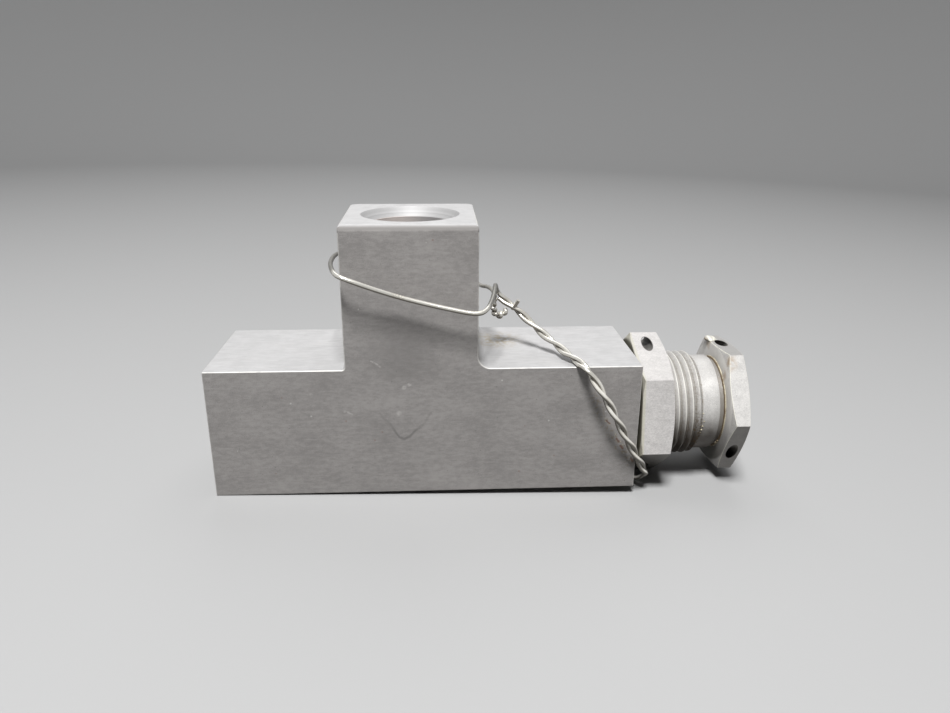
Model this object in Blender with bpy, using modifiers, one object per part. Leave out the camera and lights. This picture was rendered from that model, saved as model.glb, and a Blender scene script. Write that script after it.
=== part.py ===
"""Thermal relief valve: an inverted-tee aluminium block with one port in its upright and one in its left
end. Inside, a soft-faced poppet is held on its seat by a spring, and a hollow hexagon-headed plug with a
jam nut sets the spring. A twisted lock wire runs from the nut to a loop round the upright.

Sizes are in metres. +Z is up along the upright's port, +X runs along the bar to the adjusting plug, and
the origin is on the base face, straight below the upright's port."""

import math

import bmesh
import bpy
from mathutils import Matrix, Vector

MM = 0.001

# Clearances between separate pieces
SEAT_GAP = 0.3 * MM       # between faces that bear on each other
RADIAL_GAP = 0.3 * MM     # round a piece that slides or screws in a bore
RING_GAP = 0.1 * MM       # round a soft ring in its groove

# The fine thread that the plug, the nut and the block share
THREAD_RADIUS = 7.94 * MM

# The block
BAR_WALL = 1.285 * MM     # round the threaded bore
BAR_HEIGHT = 2 * (THREAD_RADIUS + RADIAL_GAP + BAR_WALL)
BAR_DEPTH = BAR_HEIGHT    # the bar is square
BAR_LEFT = 28.56 * MM     # from the upright port's axis to the left end
BAR_RIGHT = 32.4 * MM     # from the upright port's axis to the right end
UPRIGHT_WIDTH = 18.4 * MM
UPRIGHT_RISE = 19.9 * MM  # above the top of the bar
LEFT_CORNER = 0.4 * MM    # radius of the inner corner left of the upright
RIGHT_CORNER = 1.7 * MM   # and right of it
EDGE_BREAK = 0.3 * MM

# The two ports, which are alike
PORT_RADIUS = 5.65 * MM
PORT_DEPTH = 13.5 * MM
PORT_SINK_RADIUS = 6.95 * MM
CROSS_RADIUS = 3.5 * MM   # passage from the upright's port down to the chamber

# Bores along the bar, from the left port inwards
SCREEN_POCKET_RADIUS = 4.2 * MM
SCREEN_POCKET_DEPTH = 3.0 * MM
INLET_RADIUS = 3.0 * MM
SEAL_BORE_STEP = 0.84 * MM    # each bore is smaller than the one right of it
SEAL_BORE_RADIUS = THREAD_RADIUS - SEAL_BORE_STEP
CHAMBER_STEP = 0.8 * MM
CHAMBER_RADIUS = SEAL_BORE_RADIUS - CHAMBER_STEP
CHAMBER_LENGTH = 11.0 * MM
CHAMBER_LEAD = 1.5 * MM       # chamber left of the passage from the upright
SEAT_SHOULDER = 1.0 * MM
SEAT_BORE_RADIUS = CHAMBER_RADIUS - SEAT_SHOULDER
SEAT_BORE_DEPTH = 4.5 * MM

# Inlet screen and its snap ring
SCREEN_THICKNESS = 0.9 * MM
SCREEN_HOLE_RADIUS = 0.42 * MM
SCREEN_HOLE_PITCH = 1.25 * MM
SCREEN_HOLE_RINGS = 2
SNAP_RING_WIRE = 0.6 * MM
SNAP_RING_BITE = 0.45 * MM
SNAP_RING_WIDTH = 1.0 * MM
SNAP_RING_OPENING = 3.2 * MM

# Seat insert
SEAT_HOLE_RADIUS = 2.5 * MM
SEAT_LIP_WIDTH = 0.5 * MM
SEAT_LIP_RISE = 0.8 * MM
SEAT_RING_WIRE = 0.5 * MM  # radius of the O-ring's section
SEAT_GROOVE_INSET = 1.0 * MM

# Cage that holds the seat down and guides the poppet
CAGE_BASE = 2.0 * MM
CAGE_GUIDE = 2.5 * MM
CAGE_WAIST = 0.6 * MM      # how far the windowed part is turned down
CAGE_WALL = 1.2 * MM       # there
CAGE_WINDOW_WIDTH = 4.4 * MM
CAGE_WINDOW_INSET = 0.2 * MM  # from the turned-down part's ends

# Poppet
POPPET_RADIUS = CHAMBER_RADIUS - CAGE_WAIST - CAGE_WALL - 2 * RADIAL_GAP
POPPET_LENGTH = 11.0 * MM
POPPET_TAIL_LENGTH = 2.0 * MM
POPPET_CHAMFER = 0.4 * MM
SEAL_THICKNESS = 1.2 * MM
SEAL_INSET = 0.1 * MM
CLAMP_WASHER_RADIUS = 2.1 * MM
CLAMP_WASHER_THICKNESS = 0.6 * MM
SCREW_RADIUS = 1.0 * MM
SCREW_HEAD_RADIUS = 1.7 * MM
SCREW_HEAD_HEIGHT = 1.2 * MM
SCREW_GRIP = 5.0 * MM      # in the poppet
SCREW_SLOT_WIDTH = 0.5 * MM
SCREW_SLOT_DEPTH = 0.6 * MM

# Adjusting plug's ring groove and bore
PLUG_RING_WIRE = 0.7 * MM
BACKUP_THICKNESS = 1.0 * MM
GLAND_INSET = 1.2 * MM     # from the plug's nose
PLUG_WALL = 1.0 * MM       # under the groove
PLUG_BORE_RADIUS = SEAL_BORE_RADIUS - 2 * PLUG_RING_WIRE - 2 * RING_GAP - PLUG_WALL
PLUG_BORE_DEPTH = 28.0 * MM

# Spring and its seats
SPRING_PLAY = 0.4 * MM     # in the plug's bore
SPRING_SEAT_PLAY = 0.35 * MM
SPRING_WIRE = 0.6 * MM     # radius
SPRING_OUTER_RADIUS = PLUG_BORE_RADIUS - SPRING_PLAY
SPRING_ACTIVE_COILS = 7
SPRING_END_COILS = 1
SPRING_END_GAP = 0.15 * MM # between the turns of an end coil
SPRING_SEAT_RADIUS = PLUG_BORE_RADIUS - SPRING_SEAT_PLAY
SPRING_SEAT_FLANGE = 1.2 * MM
SPRING_HUB_LENGTH = 1.6 * MM
SPRING_HUB_RADIUS = SPRING_OUTER_RADIUS - 2 * SPRING_WIRE - RADIAL_GAP
SPRING_HUB_WALL = 0.3 * MM
POPPET_TAIL_RADIUS = SPRING_HUB_RADIUS - SPRING_HUB_WALL - RADIAL_GAP
SOCKET_FLOOR = 0.6 * MM    # under the socket's point, inside the flange
SOCKET_LAND = 1.4 * MM     # flat rim round the socket
BALL_RADIUS = 2.0 * MM
SOCKET_HALF_ANGLE = math.radians(60)

# Adjusting plug
ADJUST_IN = 3.5 * MM       # travel from the fitted place
ADJUST_OUT = 1.5 * MM
ADJUST_MARGIN = 0.5 * MM   # left over at each end of the travel
PLUG_NOSE_CHAMFER = 0.5 * MM
THREAD_CHAMFER = 0.9 * MM
THREAD_DEPTH = 0.66 * MM
NECK_RADIUS = THREAD_RADIUS - THREAD_DEPTH
NECK_LENGTH = 2.6 * MM
GROOVE_DEPTH = 0.48 * MM
GROOVE_WIDTH = 0.9 * MM
HEAD_SHOULDER = 1.845 * MM       # from the neck out to the flats
HEAD_ACROSS_FLATS = 2 * (NECK_RADIUS + HEAD_SHOULDER)
HEAD_THICKNESS = 2.82 * MM
HEAD_CHAMFER = 0.42 * MM
HEAD_TURN = math.radians(32)     # of the flat that faces the front, above level
HEAD_WIRE_HOLE_INSET = 2.16 * MM
NUT_TO_HEAD = 8.36 * MM

# Jam nut
NUT_WALL = 1.585 * MM       # from the thread out to the flats
NUT_ACROSS_FLATS = 2 * (THREAD_RADIUS + NUT_WALL)
NUT_THICKNESS = 5.05 * MM
NUT_CHAMFER = 0.5 * MM
NUT_TURN = math.radians(9)
NUT_WIRE_HOLE_INSET = 1.375 * MM
WIRE_HOLE_RADIUS = 0.8 * MM
CHAMFER_FLAT_SHARE = 0.97  # of half the flats: where a hexagon's end chamfer starts
CHAMFER_PAST = 1.5         # how far the chamfer's form runs past the corners, as a share of its reach

# Lock wire
WIRE_RADIUS = 0.3175 * MM
TWIST_PITCH = 6.14 * MM
TWIST_SPREAD = 0.37 * MM   # from the pair's centre to each strand's
TWIST_STEPS = 8            # points to a turn
TWIST_START = math.radians(270)
SPUR_STEPS = 3             # points along the twist to where the cut end stands out
SPUR_LENGTH = 1.3 * MM
LOOP_RISE = 10.0 * MM      # from the bar's top to the loop's front
TWIST_TOP_RISE = 8.7 * MM  # from the bar's top to the twist's top
TWIST_TOP_REACH = 3.7 * MM # from the upright out to it
TWIST_TOP_DEPTH = 4.8 * MM # behind the front face
TAIL_START = math.radians(180)
PIGTAIL_PITCH = 1.2 * MM
PIGTAIL_SPREAD = 0.3 * MM
PIGTAIL_STEPS = 9

# Facets round each kind of bore
FINE = 48
MEDIUM = 32
SMALL = 16
CORNER_STEPS = 6           # along the block's inner corners
RING_SIDES = 8             # round an O-ring's section
COIL_STEPS = 12            # points to a turn of the spring
BALL_SEGMENTS = 20
BALL_RINGS = 12
PAST_FACE = 1.0 * MM       # how far a cutter runs past the face that it starts from

# Places along X and Z that follow from the sizes above
AXIS_Z = BAR_HEIGHT / 2
UPRIGHT_TOP = BAR_HEIGHT + UPRIGHT_RISE
FRONT = -BAR_DEPTH / 2
BACK = BAR_DEPTH / 2
X_PORT_FLOOR = -BAR_LEFT + PORT_DEPTH
X_POCKET_FLOOR = X_PORT_FLOOR + SCREEN_POCKET_DEPTH
X_SCREEN = X_POCKET_FLOOR - SEAT_GAP - SCREEN_THICKNESS
X_SNAP_RING = X_SCREEN - SEAT_GAP - SNAP_RING_WIRE / 2    # its middle
X_CHAMBER = -CROSS_RADIUS - CHAMBER_LEAD
X_SEAT_FLOOR = X_CHAMBER - SEAT_BORE_DEPTH
X_SEAL_BORE = X_CHAMBER + CHAMBER_LENGTH
X_LIP = X_CHAMBER + SEAT_LIP_RISE
X_SEAL = X_LIP + SEAT_GAP
X_POPPET = X_SEAL + SEAL_THICKNESS + SEAT_GAP
X_POPPET_SHOULDER = X_POPPET + POPPET_LENGTH
X_NOSE = X_SEAL_BORE + ADJUST_IN + ADJUST_MARGIN
GLAND_WIDTH = 2 * BACKUP_THICKNESS + 2 * PLUG_RING_WIRE + 4 * RING_GAP
X_THREAD_BORE = X_NOSE + GLAND_INSET + GLAND_WIDTH + ADJUST_OUT + ADJUST_MARGIN
X_BORE_END = X_NOSE + PLUG_BORE_DEPTH
X_THREAD = X_THREAD_BORE + ADJUST_IN + ADJUST_MARGIN
X_NUT = BAR_RIGHT + SEAT_GAP
X_HEAD = X_NUT + NUT_THICKNESS + NUT_TO_HEAD
X_BALL = X_BORE_END - SEAT_GAP - BALL_RADIUS
X_SOCKET_APEX = X_BALL - (BALL_RADIUS + SEAT_GAP) / math.sin(SOCKET_HALF_ANGLE)
X_REAR_SEAT = X_SOCKET_APEX - SOCKET_FLOOR   # the flange's left face
X_FRONT_SEAT = X_POPPET_SHOULDER + SEAT_GAP


def clear_scene():
    for item in list(bpy.data.objects):
        bpy.data.objects.remove(item, do_unlink=True)


def new_collection(name):
    collection = bpy.data.collections.new(name)
    bpy.context.scene.collection.children.link(collection)
    return collection


def finish_material(name, colour, metallic, roughness):
    material = bpy.data.materials.new(name)
    material.use_nodes = True
    shader = material.node_tree.nodes["Principled BSDF"]
    shader.inputs["Base Color"].default_value = (*colour, 1.0)
    shader.inputs["Metallic"].default_value = metallic
    shader.inputs["Roughness"].default_value = roughness
    return material


def place(name, mesh, material):
    """Puts a finished mesh in the valve's collection."""
    piece = bpy.data.objects.new(name, mesh)
    mesh.materials.append(material)
    VALVE.objects.link(piece)
    return piece


def as_cutter(piece):
    """Moves a shape to the cutters, drawn as a wire frame and left out of the model."""
    for collection in list(piece.users_collection):
        collection.objects.unlink(piece)
    CUTTERS.objects.link(piece)
    piece.hide_render = True
    piece.display_type = "WIRE"
    return piece


def boolean(target, tool, operation="DIFFERENCE"):
    modifier = target.modifiers.new(tool.name, "BOOLEAN")
    modifier.operation = operation
    modifier.solver = "EXACT"
    modifier.object = tool


def along_bore(piece):
    """Turns a piece made round its own Z on to the bar's bore axis."""
    piece.location = (0, 0, AXIS_Z)
    piece.rotation_euler = (0, math.pi / 2, 0)
    return piece


def turned(name, outline, material, facets=MEDIUM, ring=False, turn=0.0):
    """A turned piece: outline of (place along the axis, radius) down its outer side from the far end.
    A ring's outline closes on itself, and a solid's starts and ends on the axis. Turn is the angle of its
    first facet's edge."""
    mesh = bpy.data.meshes.new(name)
    points = [(radius * math.cos(turn), radius * math.sin(turn), along) for along, radius in outline]
    edges = [(i, i + 1) for i in range(len(points) - 1)]
    if ring:
        edges.append((len(points) - 1, 0))
    mesh.from_pydata(points, edges, [])
    piece = place(name, mesh, material)
    screw = piece.modifiers.new("turn", "SCREW")
    screw.steps = facets
    screw.render_steps = facets
    screw.use_merge_vertices = True
    screw.merge_threshold = 0.00001
    screw.use_smooth_shade = True
    return along_bore(piece)


def bore(name, outline, facets=MEDIUM, turn=0.0):
    return as_cutter(turned(name, outline, CUTTER_GREY, facets, turn=turn))


def drill(name, centres, direction, radius, length, facets=SMALL):
    """Straight round cutters through some points, all in one direction."""
    turn = Vector(direction).to_track_quat("Z", "Y").to_matrix().to_4x4()
    bm = bmesh.new()
    for centre in centres:
        matrix = Matrix.Translation(centre) @ turn
        bmesh.ops.create_cone(bm, cap_ends=True, segments=facets, radius1=radius, radius2=radius,
                              depth=length, matrix=matrix)
    mesh = bpy.data.meshes.new(name)
    bm.to_mesh(mesh)
    bm.free()
    return as_cutter(place(name, mesh, CUTTER_GREY))


def block(name, low, high):
    """A straight-sided cutter between two corners."""
    bm = bmesh.new()
    size = Vector(high) - Vector(low)
    matrix = Matrix.Translation((Vector(high) + Vector(low)) / 2) @ Matrix.Diagonal((*size, 1))
    bmesh.ops.create_cube(bm, size=1, matrix=matrix)
    mesh = bpy.data.meshes.new(name)
    bm.to_mesh(mesh)
    bm.free()
    return as_cutter(place(name, mesh, CUTTER_GREY))


def ray_across(angle):
    """Unit vector square to the bore, at an angle above the front."""
    return Vector((0, -math.cos(angle), math.sin(angle)))


def hexagon(name, across_flats, start, end, turn, chamfer, material):
    """A hexagon bar's slice on the bore axis, its corners turned off at both ends."""
    corner_radius = across_flats / math.sqrt(3)
    corner = ray_across(turn + math.radians(30))
    across = corner.cross(Vector((1, 0, 0)))
    axes = Matrix((across, corner, (1, 0, 0))).transposed().to_4x4()
    bm = bmesh.new()
    centre = Vector(((start + end) / 2, 0, AXIS_Z))
    bmesh.ops.create_cone(bm, cap_ends=True, segments=6, radius1=corner_radius, radius2=corner_radius,
                          depth=end - start, matrix=Matrix.Translation(centre) @ axes)
    mesh = bpy.data.meshes.new(name)
    bm.to_mesh(mesh)
    bm.free()
    piece = place(name, mesh, material)
    face_radius = CHAMFER_FLAT_SHARE * across_flats / 2
    reach = (corner_radius - face_radius) * CHAMFER_PAST
    drop = chamfer * CHAMFER_PAST
    chamfered = [(end, 0), (end, face_radius), (end - drop, face_radius + reach),
                 (start + drop, face_radius + reach), (start, face_radius), (start, 0)]
    boolean(piece, bore(name + "_chamfer_form", chamfered, FINE), "INTERSECT")
    return piece


def wire_hole(name, across_flats, turn, corner_index, inset, x_middle):
    """A cutter square to a corner's bisector, and its two mouths on the flats beside the corner."""
    angle = turn + math.radians(30 + 60 * corner_index)
    outward = ray_across(angle)
    along = Vector((1, 0, 0)).cross(outward)
    corner_radius = across_flats / math.sqrt(3)
    centre = Vector((x_middle, 0, AXIS_Z)) + outward * (corner_radius - inset)
    half_length = inset * math.tan(math.radians(60))
    drill(name, [centre], along, WIRE_HOLE_RADIUS, 3 * half_length)
    return centre - along * half_length, centre + along * half_length


def make_tee_body():
    """The block: its outline with round inner corners, given its depth, then bored."""
    half = UPRIGHT_WIDTH / 2
    outline = [(-BAR_LEFT, 0), (BAR_RIGHT, 0), (BAR_RIGHT, BAR_HEIGHT)]
    outline += inner_corner(half, RIGHT_CORNER, 1)
    outline += [(half, UPRIGHT_TOP), (-half, UPRIGHT_TOP)]
    outline += inner_corner(half, LEFT_CORNER, -1)
    outline += [(-BAR_LEFT, BAR_HEIGHT)]
    curve = bpy.data.curves.new("tee_outline", "CURVE")
    curve.dimensions = "2D"
    curve.fill_mode = "BOTH"
    curve.extrude = BAR_DEPTH / 2
    spline = curve.splines.new("POLY")
    spline.points.add(len(outline) - 1)
    for point, (x, z) in zip(spline.points, outline):
        point.co = (x, z, 0, 1)
    spline.use_cyclic_u = True
    sketch = bpy.data.objects.new("tee_outline", curve)
    VALVE.objects.link(sketch)
    sketch.rotation_euler = (math.pi / 2, 0, 0)
    mesh = mesh_of(sketch)
    bm = bmesh.new()
    bm.from_mesh(mesh)
    bmesh.ops.dissolve_limit(bm, angle_limit=math.radians(1), verts=bm.verts, edges=bm.edges)
    bmesh.ops.recalc_face_normals(bm, faces=bm.faces)
    bm.to_mesh(mesh)
    bm.free()
    body = place("tee_body", mesh, BLOCK_ALUMINIUM)
    bevel = body.modifiers.new("edge_break", "BEVEL")
    bevel.width = EDGE_BREAK
    bevel.segments = 1
    bevel.limit_method = "ANGLE"
    bevel.angle_limit = math.radians(50)
    for tool in block_bores():
        boolean(body, tool)


def inner_corner(half, radius, side):
    """Points of the round corner between the bar's top and the upright, in the outline's order."""
    centre_x = half + radius
    centre_z = BAR_HEIGHT + radius
    points = []
    for i in range(CORNER_STEPS + 1):
        angle = math.radians(90) * i / CORNER_STEPS
        x = centre_x - radius * math.sin(angle)
        z = centre_z - radius * math.cos(angle)
        points.append((side * x, z))
    return points if side > 0 else points[::-1]


def mesh_of(sketch):
    """The mesh of a curve object, welded and in its place, and the curve removed."""
    graph = bpy.context.evaluated_depsgraph_get()
    mesh = bpy.data.meshes.new_from_object(sketch.evaluated_get(graph))
    bpy.context.view_layer.update()
    mesh.transform(sketch.matrix_world)
    bm = bmesh.new()
    bm.from_mesh(mesh)
    bmesh.ops.remove_doubles(bm, verts=bm.verts, dist=0.000001)
    bm.to_mesh(mesh)
    bm.free()
    bpy.data.objects.remove(sketch, do_unlink=True)
    return mesh


def block_bores():
    """The cutters of the block: one through the bar from end to end, and one down the upright."""
    sink = PORT_SINK_RADIUS - PORT_RADIUS
    thread_bore = THREAD_RADIUS + RADIAL_GAP
    groove_right = X_SNAP_RING + SNAP_RING_WIRE / 2 + RING_GAP
    groove_left = X_SNAP_RING - SNAP_RING_WIRE / 2 - RING_GAP
    groove_radius = SCREEN_POCKET_RADIUS + SNAP_RING_BITE
    right_end = BAR_RIGHT + PAST_FACE
    left_end = -BAR_LEFT - PAST_FACE
    top_end = UPRIGHT_TOP + PAST_FACE
    along_bar = bore("bar_bores", [
        (right_end, 0), (right_end, thread_bore), (X_THREAD_BORE, thread_bore),
        (X_THREAD_BORE, SEAL_BORE_RADIUS), (X_SEAL_BORE, SEAL_BORE_RADIUS),
        (X_SEAL_BORE, CHAMBER_RADIUS), (X_CHAMBER, CHAMBER_RADIUS),
        (X_CHAMBER, SEAT_BORE_RADIUS), (X_SEAT_FLOOR, SEAT_BORE_RADIUS), (X_SEAT_FLOOR, INLET_RADIUS),
        (X_POCKET_FLOOR, INLET_RADIUS), (X_POCKET_FLOOR, SCREEN_POCKET_RADIUS),
        (groove_right, SCREEN_POCKET_RADIUS), (groove_right, groove_radius),
        (groove_left, groove_radius), (groove_left, SCREEN_POCKET_RADIUS),
        (X_PORT_FLOOR, SCREEN_POCKET_RADIUS), (X_PORT_FLOOR, PORT_RADIUS),
        (-BAR_LEFT + sink, PORT_RADIUS), (-BAR_LEFT, PORT_SINK_RADIUS),
        (left_end, PORT_SINK_RADIUS), (left_end, 0)], FINE)
    down_upright = bore("upright_port", [
        (top_end, 0), (top_end, PORT_SINK_RADIUS), (UPRIGHT_TOP, PORT_SINK_RADIUS),
        (UPRIGHT_TOP - sink, PORT_RADIUS), (UPRIGHT_TOP - PORT_DEPTH, PORT_RADIUS),
        (UPRIGHT_TOP - PORT_DEPTH, CROSS_RADIUS), (AXIS_Z, CROSS_RADIUS), (AXIS_Z, 0)], FINE, math.pi / FINE)
    down_upright.location = (0, 0, 0)
    down_upright.rotation_euler = (0, 0, 0)
    return [along_bar, down_upright]


def make_inlet_screen():
    """A perforated disc at the bottom of its pocket, and the open snap ring that keeps it there."""
    radius = SCREEN_POCKET_RADIUS - RADIAL_GAP
    right = X_SCREEN + SCREEN_THICKNESS
    screen = turned("inlet_screen", [(right, 0), (right, radius), (X_SCREEN, radius), (X_SCREEN, 0)],
                    SCREEN_STEEL)
    centres = []
    for ring in range(SCREEN_HOLE_RINGS + 1):
        count = max(1, 6 * ring)
        for i in range(count):
            offset = ray_across(math.tau * (i + 0.5) / count) * ring * SCREEN_HOLE_PITCH
            centres.append(Vector(((X_SCREEN + right) / 2, 0, AXIS_Z)) + offset)
    boolean(screen, drill("screen_holes", centres, (1, 0, 0), SCREEN_HOLE_RADIUS, 2 * SCREEN_THICKNESS, 8))
    ring_right = X_SNAP_RING + SNAP_RING_WIRE / 2
    ring_left = X_SNAP_RING - SNAP_RING_WIRE / 2
    outer = SCREEN_POCKET_RADIUS + SNAP_RING_BITE - RING_GAP
    inner = outer - SNAP_RING_WIDTH
    ring = turned("screen_ring", [(ring_right, outer), (ring_left, outer), (ring_left, inner),
                                  (ring_right, inner)], SPRING_STEEL, MEDIUM, ring=True)
    half_opening = SNAP_RING_OPENING / 2
    opening = block("screen_ring_opening", (ring_left - PAST_FACE, -half_opening, AXIS_Z),
                    (ring_right + PAST_FACE, half_opening, AXIS_Z + 2 * outer))
    boolean(ring, opening)


def make_valve_seat():
    """The seat insert with its raised lip, and the O-ring in the groove round it."""
    radius = SEAT_BORE_RADIUS - RADIAL_GAP
    left = X_SEAT_FLOOR + SEAT_GAP
    groove_left = left + SEAT_GROOVE_INSET
    groove_right = groove_left + 2 * (SEAT_RING_WIRE + RING_GAP)
    ring_radius = SEAT_BORE_RADIUS - RING_GAP - SEAT_RING_WIRE
    groove_radius = ring_radius - SEAT_RING_WIRE - RING_GAP
    lip_radius = SEAT_HOLE_RADIUS + SEAT_LIP_WIDTH
    turned("valve_seat", [
        (X_LIP, lip_radius), (X_CHAMBER, lip_radius), (X_CHAMBER, radius), (groove_right, radius),
        (groove_right, groove_radius), (groove_left, groove_radius), (groove_left, radius),
        (left, radius), (left, SEAT_HOLE_RADIUS), (X_LIP, SEAT_HOLE_RADIUS)],
        STAINLESS, MEDIUM, ring=True)
    soft_ring("seat_o_ring", (groove_left + groove_right) / 2, ring_radius, SEAT_RING_WIRE)


def soft_ring(name, middle, ring_radius, section_radius):
    """A round-section ring on the bore axis."""
    section = []
    for i in range(RING_SIDES):
        angle = math.tau * (i + 0.5) / RING_SIDES
        along = middle + section_radius * math.sin(angle)
        section.append((along, ring_radius - section_radius * math.cos(angle)))
    turned(name, section, SEAL_RUBBER, MEDIUM, ring=True)


def make_poppet_cage():
    """The sleeve over the seat: a base ring, four windows and a guide ring for the poppet."""
    left = X_CHAMBER + SEAT_GAP
    right = X_SEAL_BORE - SEAT_GAP
    outer = CHAMBER_RADIUS - RADIAL_GAP
    guide = POPPET_RADIUS + RADIAL_GAP
    base_right = left + CAGE_BASE
    guide_left = right - CAGE_GUIDE
    cage = turned("poppet_cage", [
        (right, outer), (guide_left, outer), (guide_left, outer - CAGE_WAIST),
        (base_right, outer - CAGE_WAIST), (base_right, outer), (left, outer), (left, guide),
        (right, guide)],
        STAINLESS, MEDIUM, ring=True)
    half = CAGE_WINDOW_WIDTH / 2
    reach = 2 * outer
    low_x = base_right + CAGE_WINDOW_INSET
    high_x = guide_left - CAGE_WINDOW_INSET
    for name, half_y, half_z in (("cage_window_upright", half, reach), ("cage_window_level", reach, half)):
        boolean(cage, block(name, (low_x, -half_y, AXIS_Z - half_z), (high_x, half_y, AXIS_Z + half_z)))


def make_poppet():
    """The piston with its soft face, which a washer and a small screw clamp, and its spring seat."""
    tail_end = X_POPPET_SHOULDER + POPPET_TAIL_LENGTH
    screw_bore = SCREW_RADIUS + RADIAL_GAP
    hole_end = X_POPPET + SCREW_GRIP + SEAT_GAP
    turned("poppet", [
        (tail_end, 0), (tail_end, POPPET_TAIL_RADIUS), (X_POPPET_SHOULDER, POPPET_TAIL_RADIUS),
        (X_POPPET_SHOULDER, POPPET_RADIUS - POPPET_CHAMFER),
        (X_POPPET_SHOULDER - POPPET_CHAMFER, POPPET_RADIUS), (X_POPPET, POPPET_RADIUS),
        (X_POPPET, screw_bore), (hole_end, screw_bore), (hole_end, 0)], STAINLESS)
    seal_radius = POPPET_RADIUS - SEAL_INSET
    seal_end = X_SEAL + SEAL_THICKNESS
    turned("poppet_seal", [(seal_end, seal_radius), (X_SEAL, seal_radius), (X_SEAL, screw_bore),
                           (seal_end, screw_bore)], SOFT_FACE, MEDIUM, ring=True)
    washer_right = X_SEAL - SEAT_GAP
    washer_left = washer_right - CLAMP_WASHER_THICKNESS
    turned("seal_washer", [(washer_right, CLAMP_WASHER_RADIUS), (washer_left, CLAMP_WASHER_RADIUS),
                           (washer_left, screw_bore), (washer_right, screw_bore)],
           STAINLESS, SMALL, ring=True)
    head_right = washer_left - SEAT_GAP
    head_left = head_right - SCREW_HEAD_HEIGHT
    tip = X_POPPET + SCREW_GRIP
    screw = turned("seal_screw", [
        (tip, 0), (tip, SCREW_RADIUS), (head_right, SCREW_RADIUS), (head_right, SCREW_HEAD_RADIUS),
        (head_left, SCREW_HEAD_RADIUS), (head_left, 0)], STAINLESS, SMALL)
    half = SCREW_SLOT_WIDTH / 2
    boolean(screw, block("screw_slot", (head_left - SCREW_SLOT_DEPTH, -2 * SCREW_HEAD_RADIUS, AXIS_Z - half),
                         (head_left + SCREW_SLOT_DEPTH, 2 * SCREW_HEAD_RADIUS, AXIS_Z + half)))
    flange_right = X_FRONT_SEAT + SPRING_SEAT_FLANGE
    hub_right = flange_right + SPRING_HUB_LENGTH
    tail_bore = POPPET_TAIL_RADIUS + RADIAL_GAP
    turned("front_spring_seat", [
        (hub_right, SPRING_HUB_RADIUS), (flange_right, SPRING_HUB_RADIUS), (flange_right, SPRING_SEAT_RADIUS),
        (X_FRONT_SEAT, SPRING_SEAT_RADIUS), (X_FRONT_SEAT, tail_bore), (hub_right, tail_bore)],
        STAINLESS, MEDIUM, ring=True)


def make_spring():
    """The coil between the two seats: closed end coils and open ones between them."""
    start = X_FRONT_SEAT + SPRING_SEAT_FLANGE + SEAT_GAP + SPRING_WIRE
    end = X_REAR_SEAT - SEAT_GAP - SPRING_WIRE
    closed_pitch = 2 * SPRING_WIRE + SPRING_END_GAP
    open_pitch = (end - start - 2 * SPRING_END_COILS * closed_pitch) / SPRING_ACTIVE_COILS
    mean_radius = SPRING_OUTER_RADIUS - SPRING_WIRE
    pitches = [closed_pitch] * SPRING_END_COILS + [open_pitch] * SPRING_ACTIVE_COILS
    pitches += [closed_pitch] * SPRING_END_COILS
    points = [Vector((start, 0, AXIS_Z)) + ray_across(0) * mean_radius]
    x = start
    for pitch in pitches:
        for i in range(1, COIL_STEPS + 1):
            place_on_turn = Vector((x + pitch * i / COIL_STEPS, 0, AXIS_Z))
            points.append(place_on_turn + ray_across(math.tau * i / COIL_STEPS) * mean_radius)
        x += pitch
    round_wire("relief_spring", points, SPRING_WIRE, SPRING_STEEL)


def round_wire(name, points, radius, material):
    """A length of round wire through the points."""
    curve = bpy.data.curves.new(name, "CURVE")
    curve.dimensions = "3D"
    curve.bevel_depth = radius
    curve.bevel_resolution = 2
    curve.use_fill_caps = True
    curve.twist_mode = "MINIMUM"
    curve.materials.append(material)
    spline = curve.splines.new("POLY")
    spline.points.add(len(points) - 1)
    for point, spot in zip(spline.points, points):
        point.co = (*spot, 1)
    wire = bpy.data.objects.new(name, curve)
    VALVE.objects.link(wire)
    return wire


def make_rear_seat():
    """The spring's rear seat, with a conical socket, and the thrust ball in it."""
    slope = math.tan(SOCKET_HALF_ANGLE)
    rim = SPRING_SEAT_RADIUS - SOCKET_LAND
    right = X_SOCKET_APEX + rim / slope
    hub_left = X_REAR_SEAT - SPRING_HUB_LENGTH
    turned("rear_spring_seat", [
        (X_SOCKET_APEX, 0), (right, rim), (right, SPRING_SEAT_RADIUS), (X_REAR_SEAT, SPRING_SEAT_RADIUS),
        (X_REAR_SEAT, SPRING_HUB_RADIUS), (hub_left, SPRING_HUB_RADIUS), (hub_left, 0)], STAINLESS)
    bm = bmesh.new()
    bmesh.ops.create_uvsphere(bm, u_segments=BALL_SEGMENTS, v_segments=BALL_RINGS, radius=BALL_RADIUS)
    mesh = bpy.data.meshes.new("thrust_ball")
    bm.to_mesh(mesh)
    bm.free()
    mesh.shade_smooth()
    ball = place("thrust_ball", mesh, BALL_STEEL)
    ball.location = (X_BALL, 0, AXIS_Z)


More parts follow.
